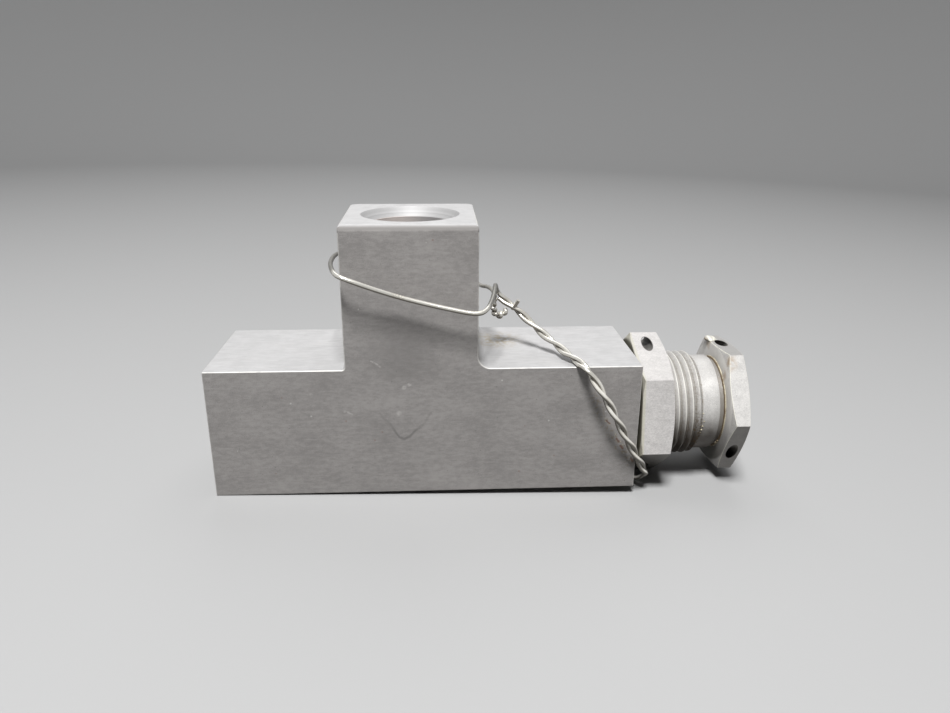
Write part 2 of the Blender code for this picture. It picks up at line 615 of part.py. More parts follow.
def make_plug():
    """The hollow plug: a nose with its ring groove, thread, neck and wire-drilled hexagon head."""
    nose_radius = SEAL_BORE_RADIUS - RADIAL_GAP
    ring_radius = SEAL_BORE_RADIUS - RING_GAP - PLUG_RING_WIRE
    gland_radius = ring_radius - PLUG_RING_WIRE - RING_GAP
    gland_left = X_NOSE + GLAND_INSET
    gland_right = gland_left + GLAND_WIDTH
    groove_radius = NECK_RADIUS - GROOVE_DEPTH
    x_groove = X_HEAD - GROOVE_WIDTH
    x_neck = x_groove - NECK_LENGTH
    x_inside_head = X_HEAD + HEAD_THICKNESS / 2
    plug = turned("adjusting_plug", [
        (x_inside_head, 0), (x_inside_head, groove_radius), (x_groove, groove_radius),
        (x_groove, NECK_RADIUS), (x_neck, NECK_RADIUS),
        (x_neck - THREAD_RADIUS + NECK_RADIUS, THREAD_RADIUS), (X_THREAD + THREAD_CHAMFER, THREAD_RADIUS),
        (X_THREAD, nose_radius), (gland_right, nose_radius), (gland_right, gland_radius),
        (gland_left, gland_radius), (gland_left, nose_radius), (X_NOSE + PLUG_NOSE_CHAMFER, nose_radius),
        (X_NOSE, nose_radius - PLUG_NOSE_CHAMFER), (X_NOSE, PLUG_BORE_RADIUS),
        (X_BORE_END, PLUG_BORE_RADIUS), (X_BORE_END, 0)], PLUG_ALUMINIUM, FINE)
    x_middle = X_HEAD + HEAD_THICKNESS / 2
    head = hexagon("plug_head", HEAD_ACROSS_FLATS, X_HEAD, X_HEAD + HEAD_THICKNESS, HEAD_TURN,
                   HEAD_CHAMFER, PLUG_ALUMINIUM)
    boolean(plug, as_cutter(head), "UNION")
    for corner_index in (1, 4):
        name = f"head_wire_hole_{corner_index}"
        wire_hole(name, HEAD_ACROSS_FLATS, HEAD_TURN, corner_index, HEAD_WIRE_HOLE_INSET, x_middle)
        boolean(plug, bpy.data.objects[name])
    soft_ring("plug_o_ring", (gland_left + gland_right) / 2, ring_radius, PLUG_RING_WIRE)
    backup_outer = SEAL_BORE_RADIUS - RING_GAP
    backup_inner = gland_radius + RING_GAP
    for name, left in (("inner_backup_ring", gland_left + RING_GAP),
                       ("outer_backup_ring", gland_right - RING_GAP - BACKUP_THICKNESS)):
        right = left + BACKUP_THICKNESS
        turned(name, [(right, backup_outer), (left, backup_outer), (left, backup_inner),
                      (right, backup_inner)], BACKUP_PLASTIC, MEDIUM, ring=True)


def make_jam_nut():
    """The hexagon nut against the block; returns the mouths of the wire hole in its lowest corner."""
    x_middle = X_NUT + NUT_THICKNESS / 2
    nut = hexagon("jam_nut", NUT_ACROSS_FLATS, X_NUT, X_NUT + NUT_THICKNESS, NUT_TURN, NUT_CHAMFER,
                  NUT_ALUMINIUM)
    thread_hole = THREAD_RADIUS + RADIAL_GAP
    left = X_NUT - PAST_FACE
    right = X_NUT + NUT_THICKNESS + PAST_FACE
    boolean(nut, bore("nut_thread", [(right, 0), (right, thread_hole), (left, thread_hole), (left, 0)],
                      FINE, math.pi / FINE))
    for corner_index in (1, 4):
        name = f"nut_wire_hole_{corner_index}"
        mouths = wire_hole(name, NUT_ACROSS_FLATS, NUT_TURN, corner_index, NUT_WIRE_HOLE_INSET, x_middle)
        boolean(nut, bpy.data.objects[name])
    return mouths


def smooth_through(knots, per_span):
    """Points along a smooth curve through the knots."""
    points = []
    for i in range(len(knots) - 1):
        before = knots[max(i - 1, 0)]
        a, b = knots[i], knots[i + 1]
        after = knots[min(i + 2, len(knots) - 1)]
        for j in range(per_span):
            t = j / per_span
            points.append(0.5 * (2 * a + (b - before) * t + (2 * before - 5 * a + 4 * b - after) * t ** 2
                                 + (3 * a - before - 3 * b + after) * t ** 3))
    points.append(knots[-1])
    return points


def wound_on(centre_line, spread, pitch, steps, start_angle):
    """Points of a strand that winds round a centre line, which is given finely enough to walk along."""
    strand = []
    travelled = 0.0
    side = None
    next_stop = 0.0
    for i in range(len(centre_line) - 1):
        a, b = centre_line[i], centre_line[i + 1]
        along = (b - a).normalized()
        if side is None:
            side = along.orthogonal().normalized()
        side = (side - along * side.dot(along)).normalized()
        other = along.cross(side)
        length = (b - a).length
        while next_stop <= travelled + length:
            spot = a + along * (next_stop - travelled)
            angle = start_angle + math.tau * next_stop / pitch
            strand.append(spot + (side * math.cos(angle) + other * math.sin(angle)) * spread)
            next_stop += pitch / steps
        travelled += length
    return strand


def make_lockwire(front_mouth, back_mouth):
    """One wire. From a cut end beside the loop it winds down to the nut, round the nut's lowest corner and
    through its hole, back up beside itself, round the upright and into a short curled tail."""
    half = UPRIGHT_WIDTH / 2
    into_hole = (back_mouth - front_mouth).normalized()
    twist_top = Vector((half + TWIST_TOP_REACH, FRONT + TWIST_TOP_DEPTH, BAR_HEIGHT + TWIST_TOP_RISE))
    over_edge = Vector((half + 0.64 * (BAR_RIGHT - half), FRONT - 1.0 * MM, BAR_HEIGHT + 0.2 * MM))
    twist_end = front_mouth + Vector((-0.3 * MM, -2.4 * MM, 0.4 * MM))
    centre_knots = [twist_top, twist_top.lerp(over_edge, 0.33), twist_top.lerp(over_edge, 0.7), over_edge]
    for share, bulge in ((0.25, 1.5), (0.5, 1.65), (0.75, 1.35), (0.9, -0.3)):
        knot = over_edge.lerp(twist_end, share)
        knot.y = FRONT - bulge * MM
        centre_knots.append(knot)
    centre_knots.append(twist_end)
    centre = smooth_through(centre_knots, 12)
    strand_a = wound_on(centre, TWIST_SPREAD, TWIST_PITCH, TWIST_STEPS, TWIST_START)
    strand_b = wound_on(centre, TWIST_SPREAD, TWIST_PITCH, TWIST_STEPS, TWIST_START + math.pi)
    nut_right = X_NUT + NUT_THICKNESS
    hook = [
        front_mouth - into_hole * 0.5 * MM,
        (front_mouth + back_mouth) / 2,
        back_mouth + into_hole * 0.5 * MM,
        back_mouth + Vector((0.7 * MM, 1.2 * MM, -0.45 * MM)),
        Vector((nut_right - 0.4 * MM, back_mouth.y + 0.8 * MM, back_mouth.z - 0.4 * MM)),
        Vector((nut_right + 0.5 * MM, back_mouth.y - 0.8 * MM, back_mouth.z)),
        Vector((nut_right + 0.5 * MM, front_mouth.y + 0.6 * MM, front_mouth.z - 0.1 * MM)),
        Vector((nut_right - 0.6 * MM, front_mouth.y - 1.2 * MM, front_mouth.z - 0.6 * MM)),
        front_mouth + Vector((0.7 * MM, -2.2 * MM, -0.8 * MM))]
    loop_level = BAR_HEIGHT + LOOP_RISE
    loop = [
        Vector((half + 2.8 * MM, FRONT + 3.5 * MM, loop_level + 0.3 * MM)),
        Vector((half + 2.15 * MM, FRONT + 1.2 * MM, loop_level + 1.5 * MM)),
        Vector((half + 1.9 * MM, FRONT - 1.0 * MM, loop_level + 0.9 * MM)),
        Vector((half + 1.6 * MM, FRONT - 2.0 * MM, loop_level - 0.1 * MM)),
        Vector((half + 0.8 * MM, FRONT - 2.5 * MM, loop_level - 1.0 * MM)),
        Vector((half - 2.0 * MM, FRONT - 2.7 * MM, loop_level - 1.1 * MM)),
        Vector((2.7 * MM, FRONT - 2.5 * MM, loop_level - 0.1 * MM)),
        Vector((-4.5 * MM, FRONT - 1.7 * MM, loop_level + 1.75 * MM)),
        Vector((-half, FRONT - 0.7 * MM, loop_level + 3.25 * MM)),
        Vector((-half - 1.35 * MM, FRONT + 2.5 * MM, loop_level + 3.45 * MM)),
        Vector((-half - 2.3 * MM, FRONT + 7.0 * MM, loop_level + 3.65 * MM)),
        Vector((-half - 2.6 * MM, FRONT + 11.5 * MM, loop_level + 3.75 * MM)),
        Vector((-half - 2.3 * MM, BACK - 1.5 * MM, loop_level + 3.2 * MM)),
        Vector((-half + 0.5 * MM, BACK + 1.5 * MM, loop_level + 2.4 * MM)),
        Vector((-0.3 * half, BACK + 1.2 * MM, loop_level + 0.6 * MM)),
        Vector((0.5 * half, BACK + 0.8 * MM, loop_level - 1.4 * MM)),
        Vector((half + 0.1 * MM, BACK + 0.6 * MM, loop_level - 2.6 * MM)),
        Vector((half + 1.5 * MM, BACK - 0.8 * MM, loop_level - 2.7 * MM)),
        Vector((half + 2.3 * MM, BACK - 4.0 * MM, loop_level - 2.1 * MM)),
        Vector((half + 2.7 * MM, BACK - 7.5 * MM, loop_level - 1.9 * MM)),
        Vector((half + 2.9 * MM, BACK - 10.5 * MM, loop_level - 2.1 * MM))]
    root = strand_a[SPUR_STEPS]
    outward = (root - strand_b[SPUR_STEPS]).normalized()
    backward = (root - strand_a[SPUR_STEPS + 1]).normalized()
    spur = [root + backward * 0.5 * MM + outward * SPUR_LENGTH,
            root + backward * 0.45 * MM + outward * 0.4 * SPUR_LENGTH]
    tail_knots = [(0.5, -1.5, -0.8), (0.2, -2.3, -1.9), (-0.7, -2.7, -2.6), (-1.7, -2.8, -2.1),
                  (-2.0, -2.7, -0.8)]
    tail_centre = smooth_through([loop[-1] + Vector(knot) * MM for knot in tail_knots], 8)
    tail = wound_on(tail_centre, PIGTAIL_SPREAD, PIGTAIL_PITCH, PIGTAIL_STEPS, TAIL_START)
    joined_hook = smooth_through([strand_a[-1]] + hook + [strand_b[-1]], 3)[1:-1]
    joined_loop = smooth_through([strand_b[0]] + loop + [tail[0]], 3)[1:-1]
    points = spur + strand_a[SPUR_STEPS:] + joined_hook + strand_b[::-1] + joined_loop + tail
    round_wire("lockwire", points, WIRE_RADIUS, LOCKWIRE_STEEL)


clear_scene()
VALVE = new_collection("thermal_relief_valve")
CUTTERS = new_collection("cutters")
CUTTER_GREY = finish_material("cutter", (0.5, 0.5, 0.5), 0.0, 0.5)
BLOCK_ALUMINIUM = finish_material("block_aluminium", (0.42, 0.41, 0.39), 0.9, 0.45)
NUT_ALUMINIUM = finish_material("nut_aluminium", (0.55, 0.54, 0.52), 0.9, 0.42)
PLUG_ALUMINIUM = finish_material("plug_aluminium", (0.52, 0.51, 0.48), 0.9, 0.42)
LOCKWIRE_STEEL = finish_material("lockwire_steel", (0.62, 0.6, 0.55), 1.0, 0.28)
STAINLESS = finish_material("stainless", (0.55, 0.55, 0.54), 1.0, 0.3)
SPRING_STEEL = finish_material("spring_steel", (0.32, 0.32, 0.33), 1.0, 0.35)
BALL_STEEL = finish_material("ball_steel", (0.6, 0.6, 0.6), 1.0, 0.12)
SCREEN_STEEL = finish_material("screen_steel", (0.5, 0.5, 0.48), 1.0, 0.4)
SEAL_RUBBER = finish_material("seal_rubber", (0.02, 0.02, 0.02), 0.0, 0.6)
SOFT_FACE = finish_material("soft_face", (0.03, 0.03, 0.03), 0.0, 0.55)
BACKUP_PLASTIC = finish_material("backup_plastic", (0.75, 0.74, 0.7), 0.0, 0.4)

make_tee_body()
make_inlet_screen()
make_valve_seat()
make_poppet_cage()
make_poppet()
make_spring()
make_rear_seat()
make_plug()
FRONT_MOUTH, BACK_MOUTH = make_jam_nut()
make_lockwire(FRONT_MOUTH, BACK_MOUTH)
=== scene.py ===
"""Looks of the thermal relief valve: a drilled aluminium tee block with its jam nut, adjusting plug and
lock wire, and the poppet, spring and seals inside it.

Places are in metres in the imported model's frame: +X along the bar to the plug, +Z up the upright, and -Y
out of the face that the camera sees."""

import math

import bmesh
import bpy
from mathutils import Matrix, Vector


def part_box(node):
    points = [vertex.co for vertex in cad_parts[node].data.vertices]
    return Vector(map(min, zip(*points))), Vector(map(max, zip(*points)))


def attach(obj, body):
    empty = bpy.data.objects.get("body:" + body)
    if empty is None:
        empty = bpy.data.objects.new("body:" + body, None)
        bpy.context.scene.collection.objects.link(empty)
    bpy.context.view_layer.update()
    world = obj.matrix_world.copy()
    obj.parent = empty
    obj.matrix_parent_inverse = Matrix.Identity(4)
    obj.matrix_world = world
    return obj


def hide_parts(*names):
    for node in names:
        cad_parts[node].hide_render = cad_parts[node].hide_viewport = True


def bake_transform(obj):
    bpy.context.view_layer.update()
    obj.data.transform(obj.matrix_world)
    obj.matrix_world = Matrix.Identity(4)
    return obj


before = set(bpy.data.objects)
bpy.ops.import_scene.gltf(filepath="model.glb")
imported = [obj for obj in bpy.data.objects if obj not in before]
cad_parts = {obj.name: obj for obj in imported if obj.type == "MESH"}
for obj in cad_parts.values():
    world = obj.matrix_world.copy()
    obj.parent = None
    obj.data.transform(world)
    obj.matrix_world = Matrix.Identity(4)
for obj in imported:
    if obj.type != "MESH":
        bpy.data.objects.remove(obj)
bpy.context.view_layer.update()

# The block: one length of 3/4 inch square aluminium bar, milled to an inverted tee and left as cut. It is
# bored from end to end along the bar, threaded at the right for the plug, and its two ports are tapped,
# with a wide countersink. Handling has bruised two of its corners and left fine scratches, a dried drip and a
# few brown stains on it.
MM = 0.001
BLOCK_LOW, BLOCK_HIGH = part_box("tee_body")
BAR_LEFT = BLOCK_LOW.x
BAR_RIGHT = BLOCK_HIGH.x
FRONT = BLOCK_LOW.y
BACK = BLOCK_HIGH.y
BAR_TOP = BACK - FRONT
AXIS_Z = BAR_TOP / 2
UPRIGHT_TOP = BLOCK_HIGH.z
UPRIGHT_HALF = 9.2 * MM
LEFT_CORNER = 0.4 * MM
RIGHT_CORNER = 1.7 * MM
BRUISE = 1.5 * MM
FRONT_TOP_EDGE = 0.9 * MM
TOP_EDGE_SHARE = 0.5
PLAIN_EDGE_SHARE = 0.2
PORT_DEPTH = 13.5 * MM
PORT_RADIUS = 5.65 * MM
PORT_SINK = 6.95 * MM
PORT_PITCH = 1.27 * MM
PORT_VALLEY = 5.388 * MM
PORT_CREST = 6.38 * MM
CROSS_RADIUS = 3.5 * MM
FINE_PITCH = 1.0583 * MM
FINE_BORE = 7.5 * MM
FINE_BORE_VALLEY = 7.338 * MM
FINE_BORE_CREST = 8.04 * MM
X_PORT_FLOOR = BAR_LEFT + PORT_DEPTH
X_POCKET_FLOOR = X_PORT_FLOOR + 3.0 * MM
POCKET_RADIUS = 4.2 * MM
INLET_RADIUS = 3.0 * MM
X_SEAT_FLOOR = -9.5 * MM
SEAT_BORE = 5.3 * MM
X_CHAMBER = -5.0 * MM
CHAMBER_RADIUS = 6.3 * MM
X_SEAL_BORE = 6.0 * MM
SEAL_BORE = 7.1 * MM
X_THREAD_BORE = 17.0 * MM
BORE_MOUTH = 0.7 * MM
THREAD_START = math.radians(2)
OUT_OF_STEP = math.radians(1.1)


def alone(piece):
    """Selects one object and nothing else."""
    bpy.ops.object.select_all(action="DESELECT")
    piece.select_set(True)
    bpy.context.view_layer.objects.active = piece
    return piece


def begin(name):
    """Names the primitive just added and opens it for editing."""
    piece = bpy.context.object
    piece.name = name
    piece.data.name = name
    bpy.ops.object.transform_apply(location=True, rotation=True, scale=True)
    bpy.ops.object.mode_set(mode="EDIT")
    bpy.ops.mesh.select_mode(type="VERT")
    bpy.ops.mesh.select_all(action="SELECT")
    return piece


def done():
    """Closes edit mode with the faces turned outwards."""
    bpy.ops.mesh.select_all(action="SELECT")
    bpy.ops.mesh.normals_make_consistent(inside=False)
    bpy.ops.object.mode_set(mode="OBJECT")


def pick(kind, test):
    """In edit mode, selects the points, edges or faces that pass the test."""
    bpy.ops.mesh.select_mode(type=kind)
    bpy.ops.mesh.select_all(action="DESELECT")
    form = bmesh.from_edit_mesh(bpy.context.edit_object.data)
    for item in {"VERT": form.verts, "EDGE": form.edges, "FACE": form.faces}[kind]:
        item.select_set(bool(test(item)))
    form.select_flush_mode()
    bmesh.update_edit_mesh(bpy.context.edit_object.data)


def modify(piece, kind, **settings):
    """Adds a modifier and applies it."""
    alone(piece)
    modifier = piece.modifiers.new(kind.lower(), kind)
    for name, value in settings.items():
        setattr(modifier, name, value)
    bpy.ops.object.modifier_apply(modifier=modifier.name)


def cut(piece, tool, operation="DIFFERENCE"):
    """Cuts, joins or trims a piece with another shape, which is then removed."""
    modify(piece, "BOOLEAN", operation=operation, solver="EXACT", object=tool)
    bpy.data.objects.remove(tool)


def drawn(name, spots):
    """A line through the spots, left open for editing."""
    bpy.ops.object.select_all(action="DESELECT")
    bpy.ops.mesh.primitive_plane_add(size=MM, location=spots[0])
    piece = begin(name)
    bpy.ops.mesh.merge(type="CENTER")
    for before, spot in zip(spots, spots[1:]):
        bpy.ops.mesh.extrude_region_move(TRANSFORM_OT_translate={"value": spot - before})
    return piece


def turned(name, outline, steps=96, upright=False, ring=False, start=0.0):
    """A piece turned from its outline, given as (place along the axis, radius), on the bar's bore axis or
    on the upright's. A ring's outline closes on itself. Start turns its first facet out of step with
    those of a shape that it meets."""
    if ring:
        outline = outline + outline[:1]
    aside = math.sin(start)
    ahead = math.cos(start)
    spots = []
    for along, radius in outline:
        if upright:
            spots.append(Vector((radius * ahead, radius * aside, along)))
        else:
            spots.append(Vector((along, radius * aside, AXIS_Z + radius * ahead)))
    piece = drawn(name, spots)
    bpy.ops.mesh.select_all(action="SELECT")
    centre = (0, 0, 0) if upright else (0, 0, AXIS_Z)
    axis = (0, 0, 1) if upright else (1, 0, 0)
    bpy.ops.mesh.spin(steps=steps, angle=math.tau, center=centre, axis=axis)
    bpy.ops.mesh.select_all(action="SELECT")
    bpy.ops.mesh.remove_doubles(threshold=MM / 1000)
    done()
    return piece


def thread_rod(name, pitch, valley, root, crest, low, high, steps=96):
    """A closed rod with a right-handed 60 degree thread, standing on Z from low to high. Valley is the radius
    where the flanks would meet, and root and crest are where they are cut off. Every rod of one pitch starts
    its thread from the same turn of Z = 0, so a screw and its hole are in step."""
    root_at = pitch / 2 - (root - valley) / math.sqrt(3)
    crest_at = pitch / 2 - (crest - valley) / math.sqrt(3)
    worn = 0.03 * MM
    profile = [(-pitch / 2, root), (-root_at, root), (-crest_at, crest - worn), (-0.45 * crest_at, crest),
               (0.45 * crest_at, crest), (crest_at, crest - worn), (root_at, root), (pitch / 2, root)]
    first = math.floor(low / pitch) - 2
    turns = math.ceil(high / pitch) + 2 - first
    aside = math.sin(THREAD_START)
    ahead = math.cos(THREAD_START)
    spots = [Vector((radius * ahead, radius * aside, first * pitch + along)) for along, radius in profile]
    rod = drawn(name, spots)
    bpy.ops.object.mode_set(mode="OBJECT")
    modify(rod, "SCREW", axis="Z", angle=math.tau, screw_offset=pitch, iterations=turns, steps=steps,
           render_steps=steps, use_merge_vertices=True, merge_threshold=MM / 1000)
    bpy.ops.object.mode_set(mode="EDIT")
    for place, clear_below in ((low, True), (high, False)):
        bpy.ops.mesh.select_all(action="SELECT")
        bpy.ops.mesh.remove_doubles(threshold=MM / 1000)
        bpy.ops.mesh.select_all(action="SELECT")
        bpy.ops.mesh.bisect(plane_co=(0, 0, place), plane_no=(0, 0, 1), use_fill=True, threshold=MM / 10000,
                            clear_inner=clear_below, clear_outer=not clear_below)
    done()
    return rod


def lay_along_bar(piece):
    """Turns a piece that stands on Z on to the bar's bore axis."""
    alone(piece)
    piece.matrix_world = Matrix.Translation((0, 0, AXIS_Z)) @ Matrix.Rotation(math.pi / 2, 4, "Y")
    bpy.ops.object.transform_apply(location=True, rotation=True, scale=True)
    return piece


bpy.ops.object.select_all(action="DESELECT")
bpy.ops.mesh.primitive_cube_add(size=1, location=((BAR_LEFT + BAR_RIGHT) / 2, 0, AXIS_Z),
                                scale=(BAR_RIGHT - BAR_LEFT, BACK - FRONT, BAR_TOP))
block = begin("machined_block")
for side in (-UPRIGHT_HALF, UPRIGHT_HALF):
    bpy.ops.mesh.select_all(action="SELECT")
    bpy.ops.mesh.bisect(plane_co=(side, 0, 0), plane_no=(1, 0, 0), threshold=MM / 1000)
pick("FACE", lambda face: face.normal.z > 0.9 and abs(face.calc_center_median().x) < UPRIGHT_HALF)
bpy.ops.mesh.extrude_region_move(TRANSFORM_OT_translate={"value": (0, 0, UPRIGHT_TOP - BAR_TOP)})
bpy.ops.mesh.select_all(action="SELECT")
bpy.ops.mesh.dissolve_limited(angle_limit=math.radians(1))
for side, radius in ((-UPRIGHT_HALF, LEFT_CORNER), (UPRIGHT_HALF, RIGHT_CORNER)):
    pick("EDGE", lambda edge: all(abs(v.co.x - side) < MM / 100 and abs(v.co.z - BAR_TOP) < MM / 100
                                  for v in edge.verts))
    bpy.ops.mesh.bevel(offset=radius, segments=8, affect="EDGES")
pick("VERT", lambda v: v.co.z > UPRIGHT_TOP - MM / 100 and v.co.y > BACK - MM / 100)
bpy.ops.mesh.bevel(offset=BRUISE, segments=5, affect="VERTICES")
pick("EDGE", lambda edge: edge.calc_face_angle(0) > math.radians(60))
bpy.ops.transform.edge_bevelweight(value=PLAIN_EDGE_SHARE)
pick("EDGE", lambda edge: all(v.co.z > UPRIGHT_TOP - MM / 100 for v in edge.verts)
     and edge.calc_face_angle(0) > math.radians(60))
bpy.ops.transform.edge_bevelweight(value=TOP_EDGE_SHARE - PLAIN_EDGE_SHARE)
pick("EDGE", lambda edge: all(v.co.z > UPRIGHT_TOP - MM / 100 and v.co.y < FRONT + MM / 100
                              for v in edge.verts))
bpy.ops.transform.edge_bevelweight(value=1 - TOP_EDGE_SHARE)
done()
modify(block, "BEVEL", width=FRONT_TOP_EDGE, segments=4, limit_method="WEIGHT", use_clamp_overlap=False)

sink = PORT_SINK - PORT_RADIUS
PAST = 1.0 * MM
cut(block, turned("bores", [
    (BAR_RIGHT + PAST, 0), (BAR_RIGHT + PAST, FINE_BORE + BORE_MOUTH + PAST),
    (BAR_RIGHT, FINE_BORE + BORE_MOUTH), (BAR_RIGHT - BORE_MOUTH, FINE_BORE),
    (X_THREAD_BORE, FINE_BORE), (X_THREAD_BORE, SEAL_BORE),
    (X_SEAL_BORE, SEAL_BORE), (X_SEAL_BORE, CHAMBER_RADIUS), (X_CHAMBER, CHAMBER_RADIUS),
    (X_CHAMBER, SEAT_BORE), (X_SEAT_FLOOR, SEAT_BORE), (X_SEAT_FLOOR, INLET_RADIUS),
    (X_POCKET_FLOOR, INLET_RADIUS), (X_POCKET_FLOOR, POCKET_RADIUS), (X_PORT_FLOOR, POCKET_RADIUS),
    (X_PORT_FLOOR, PORT_RADIUS), (BAR_LEFT + sink, PORT_RADIUS), (BAR_LEFT, PORT_SINK),
    (BAR_LEFT - PAST, PORT_SINK + PAST), (BAR_LEFT - PAST, 0)]))
cut(block, turned("upright_bore", [
    (UPRIGHT_TOP + PAST, 0), (UPRIGHT_TOP + PAST, PORT_SINK + PAST), (UPRIGHT_TOP, PORT_SINK),
    (UPRIGHT_TOP - sink, PORT_RADIUS), (UPRIGHT_TOP - PORT_DEPTH, PORT_RADIUS),
    (UPRIGHT_TOP - PORT_DEPTH, CROSS_RADIUS), (AXIS_Z, CROSS_RADIUS), (AXIS_Z, 0)], upright=True))
cut(block, thread_rod("port_tap", PORT_PITCH, PORT_VALLEY, PORT_RADIUS - 0.05 * MM, PORT_CREST,
                      UPRIGHT_TOP - PORT_DEPTH + 1.6 * MM, UPRIGHT_TOP - 2.3 * MM))
cut(block, lay_along_bar(thread_rod("left_port_tap", PORT_PITCH, PORT_VALLEY, PORT_RADIUS - 0.05 * MM,
                                    PORT_CREST, BAR_LEFT + 1.6 * MM, X_PORT_FLOOR - 1.6 * MM, 64)))
cut(block, lay_along_bar(thread_rod("plug_tap", FINE_PITCH, FINE_BORE_VALLEY, FINE_BORE - 0.05 * MM,
                                    FINE_BORE_CREST, X_THREAD_BORE + 0.5 * MM, BAR_RIGHT + PAST, 64)))


def smooth(piece, sharp=25):
    """Shades a piece smooth but for its sharp edges, with its flat faces kept flat."""
    alone(piece)
    bpy.ops.object.shade_smooth_by_angle(angle=math.radians(sharp))
    modify(piece, "WEIGHTED_NORMAL", keep_sharp=True)


class Shade:
    """One output of a material's nodes. Python's operators on it add Math nodes."""

    def __init__(self, tree, socket):
        self.tree = tree
        self.socket = socket

    def node(self, kind, settings=None, inputs=None, output=0):
        """Adds a node: its settings are set first, then the values or links of its sockets."""
        made = self.tree.nodes.new(kind)
        for name, value in (settings or {}).items():
            if name == "stops":
                while len(made.color_ramp.elements) < len(value):
                    made.color_ramp.elements.new(0.5)
                for stop, (where, level) in zip(made.color_ramp.elements, value):
                    stop.position = where
                    stop.color = (level, level, level, 1)
            else:
                setattr(made, name, value)
        for name, value in (inputs or {}).items():
            if isinstance(value, Shade):
                self.tree.links.new(value.socket, made.inputs[name])
            else:
                made.inputs[name].default_value = value
        return Shade(self.tree, made.outputs[output])

    def maths(self, operation, *values):
        return self.node("ShaderNodeMath", {"operation": operation}, dict(enumerate(values)))

    def __add__(self, other):
        return self.maths("ADD", self, other)

    __radd__ = __add__

    def __sub__(self, other):
        return self.maths("SUBTRACT", self, other)

    def __rsub__(self, other):
        return self.maths("SUBTRACT", other, self)

    def __mul__(self, other):
        return self.maths("MULTIPLY", self, other)

    __rmul__ = __mul__

    def __truediv__(self, other):
        return self.maths("DIVIDE", self, other)

    def root(self):
        return self.maths("SQRT", self)

    def size(self):
        """How far the value is from zero, either way."""
        return self.maths("ABSOLUTE", self)

    def least(self, other):
        return self.maths("MINIMUM", self, other)

    def most(self, other):
        return self.maths("MAXIMUM", self, other)

    def rise(self, low, high):
        """0 below low, 1 above high and a smooth step between; high may be the lower of the two."""
        if low > high:
            return 1 - self.rise(high, low)
        return self.node("ShaderNodeMapRange", {"interpolation_type": "SMOOTHSTEP"},
                         {0: self, 1: low, 2: high, 3: 0.0, 4: 1.0})

    def parts(self):
        """The three parts of a vector."""
        split = self.node("ShaderNodeSeparateXYZ", inputs={0: self})
        outputs = split.socket.node.outputs
        return [Shade(self.tree, outputs[i]) for i in range(3)]

    def cloud(self, grain, detail=4.0, stretch=(1, 1, 1), turn=(0, 0, 0), rough=0.55):
        """Noise in lumps about grain across, in the place's own units, longer where stretch is over 1."""
        turned_place = self.node("ShaderNodeMapping", inputs={"Vector": self, "Rotation": turn})
        scale = [1 / (grain * s) for s in stretch]
        scaled = self.node("ShaderNodeMapping", inputs={"Vector": turned_place, "Scale": scale})
        return scaled.node("ShaderNodeTexNoise", inputs={"Vector": scaled, "Scale": 1.0, "Detail": detail,
                                                         "Roughness": rough})

    def specks(self, spacing, radius, shift=(0, 0, 0)):
        """Small round spots scattered at about the spacing, 1 at their middles."""
        moved = self.node("ShaderNodeMapping", inputs={"Vector": self, "Location": shift,
                                                       "Scale": [1 / spacing] * 3})
        far = moved.node("ShaderNodeTexVoronoi", inputs={"Vector": moved, "Scale": 1.0})
        return far.rise(radius / spacing, 0.4 * radius / spacing)

    def blend(self, colour, other, how="MIX"):
        """Colour where this mask is 0 and the other where it is 1."""
        return self.node("ShaderNodeMix", {"data_type": "RGBA", "blend_type": how},
                         {0: self, 6: colour, 7: other}, output=2)


def new_finish(name, metallic, roughness):
    """A material with its metallic and roughness values, its shader, and Object coordinates in mm."""
    material = bpy.data.materials.new(name)
    material.use_nodes = True
    tree = material.node_tree
    shader = tree.nodes["Principled BSDF"]
    shader.inputs["Metallic"].default_value = metallic
    shader.inputs["Roughness"].default_value = roughness
    start = Shade(tree, tree.nodes.new("ShaderNodeTexCoord").outputs["Object"])
    place = start.node("ShaderNodeVectorMath", {"operation": "SCALE"}, {0: start, "Scale": 1 / MM})
    return material, shader, place


def feed(shader, **links):
    """Links shades into the shader's sockets, named with underscores for spaces."""
    for name, shade in links.items():
        shade.tree.links.new(shade.socket, shader.inputs[name.replace("_", " ")])


def bumped(height, distance):
    """A normal from a height of 0 to 1 that stands for a distance in metres."""
    return height.node("ShaderNodeBump", inputs={"Height": height, "Distance": distance})


def tinted(tone, share):
    """A tone made darker or lighter, with its alpha."""
    return [share * t for t in tone] + [1]


def facing(place):
    """How far the surface faces along X, Y and Z, each from -1 to 1."""
    outputs = place.socket.node.inputs[0].links[0].from_node.outputs
    return Shade(place.tree, outputs["Normal"]).parts()


def aluminium(name, tone, lump, stretch=(1, 1, 1)):
    """Machined aluminium in a tone: mottled in lumps of about a size in mm, with fine grain and pinprick
    pits. Gives the material, its shader, the place in mm, the colour and the grain."""
    material, shader, place = new_finish(name, 0.25, 0.5)
    mottle = place.cloud(lump, 4.0, stretch) * 0.28 + place.cloud(0.15 * lump, 4.0, stretch) * 0.32
    grain = place.cloud(0.10, 2.0, rough=0.7)
    colour = (mottle + grain * 0.40).rise(0.36, 0.64).blend(tinted(tone, 0.81), tinted(tone, 1.18))
    pits = place.specks(1.3, 0.085) * 0.7
    return material, shader, place, pits.blend(colour, tinted(tone, 0.3)), grain


def shaken(place, grain, amount):
    """The place moved about by noise, so that the outline of a mark wanders."""
    noise = place.cloud(grain, 2.0).socket.node.outputs["Color"]
    swing = place.node("ShaderNodeVectorMath", {"operation": "MULTIPLY_ADD"},
                       {0: Shade(place.tree, noise), 1: (amount,) * 3, 2: (-amount / 2,) * 3})
    return place.node("ShaderNodeVectorMath", {"operation": "ADD"}, {0: place, 1: swing})


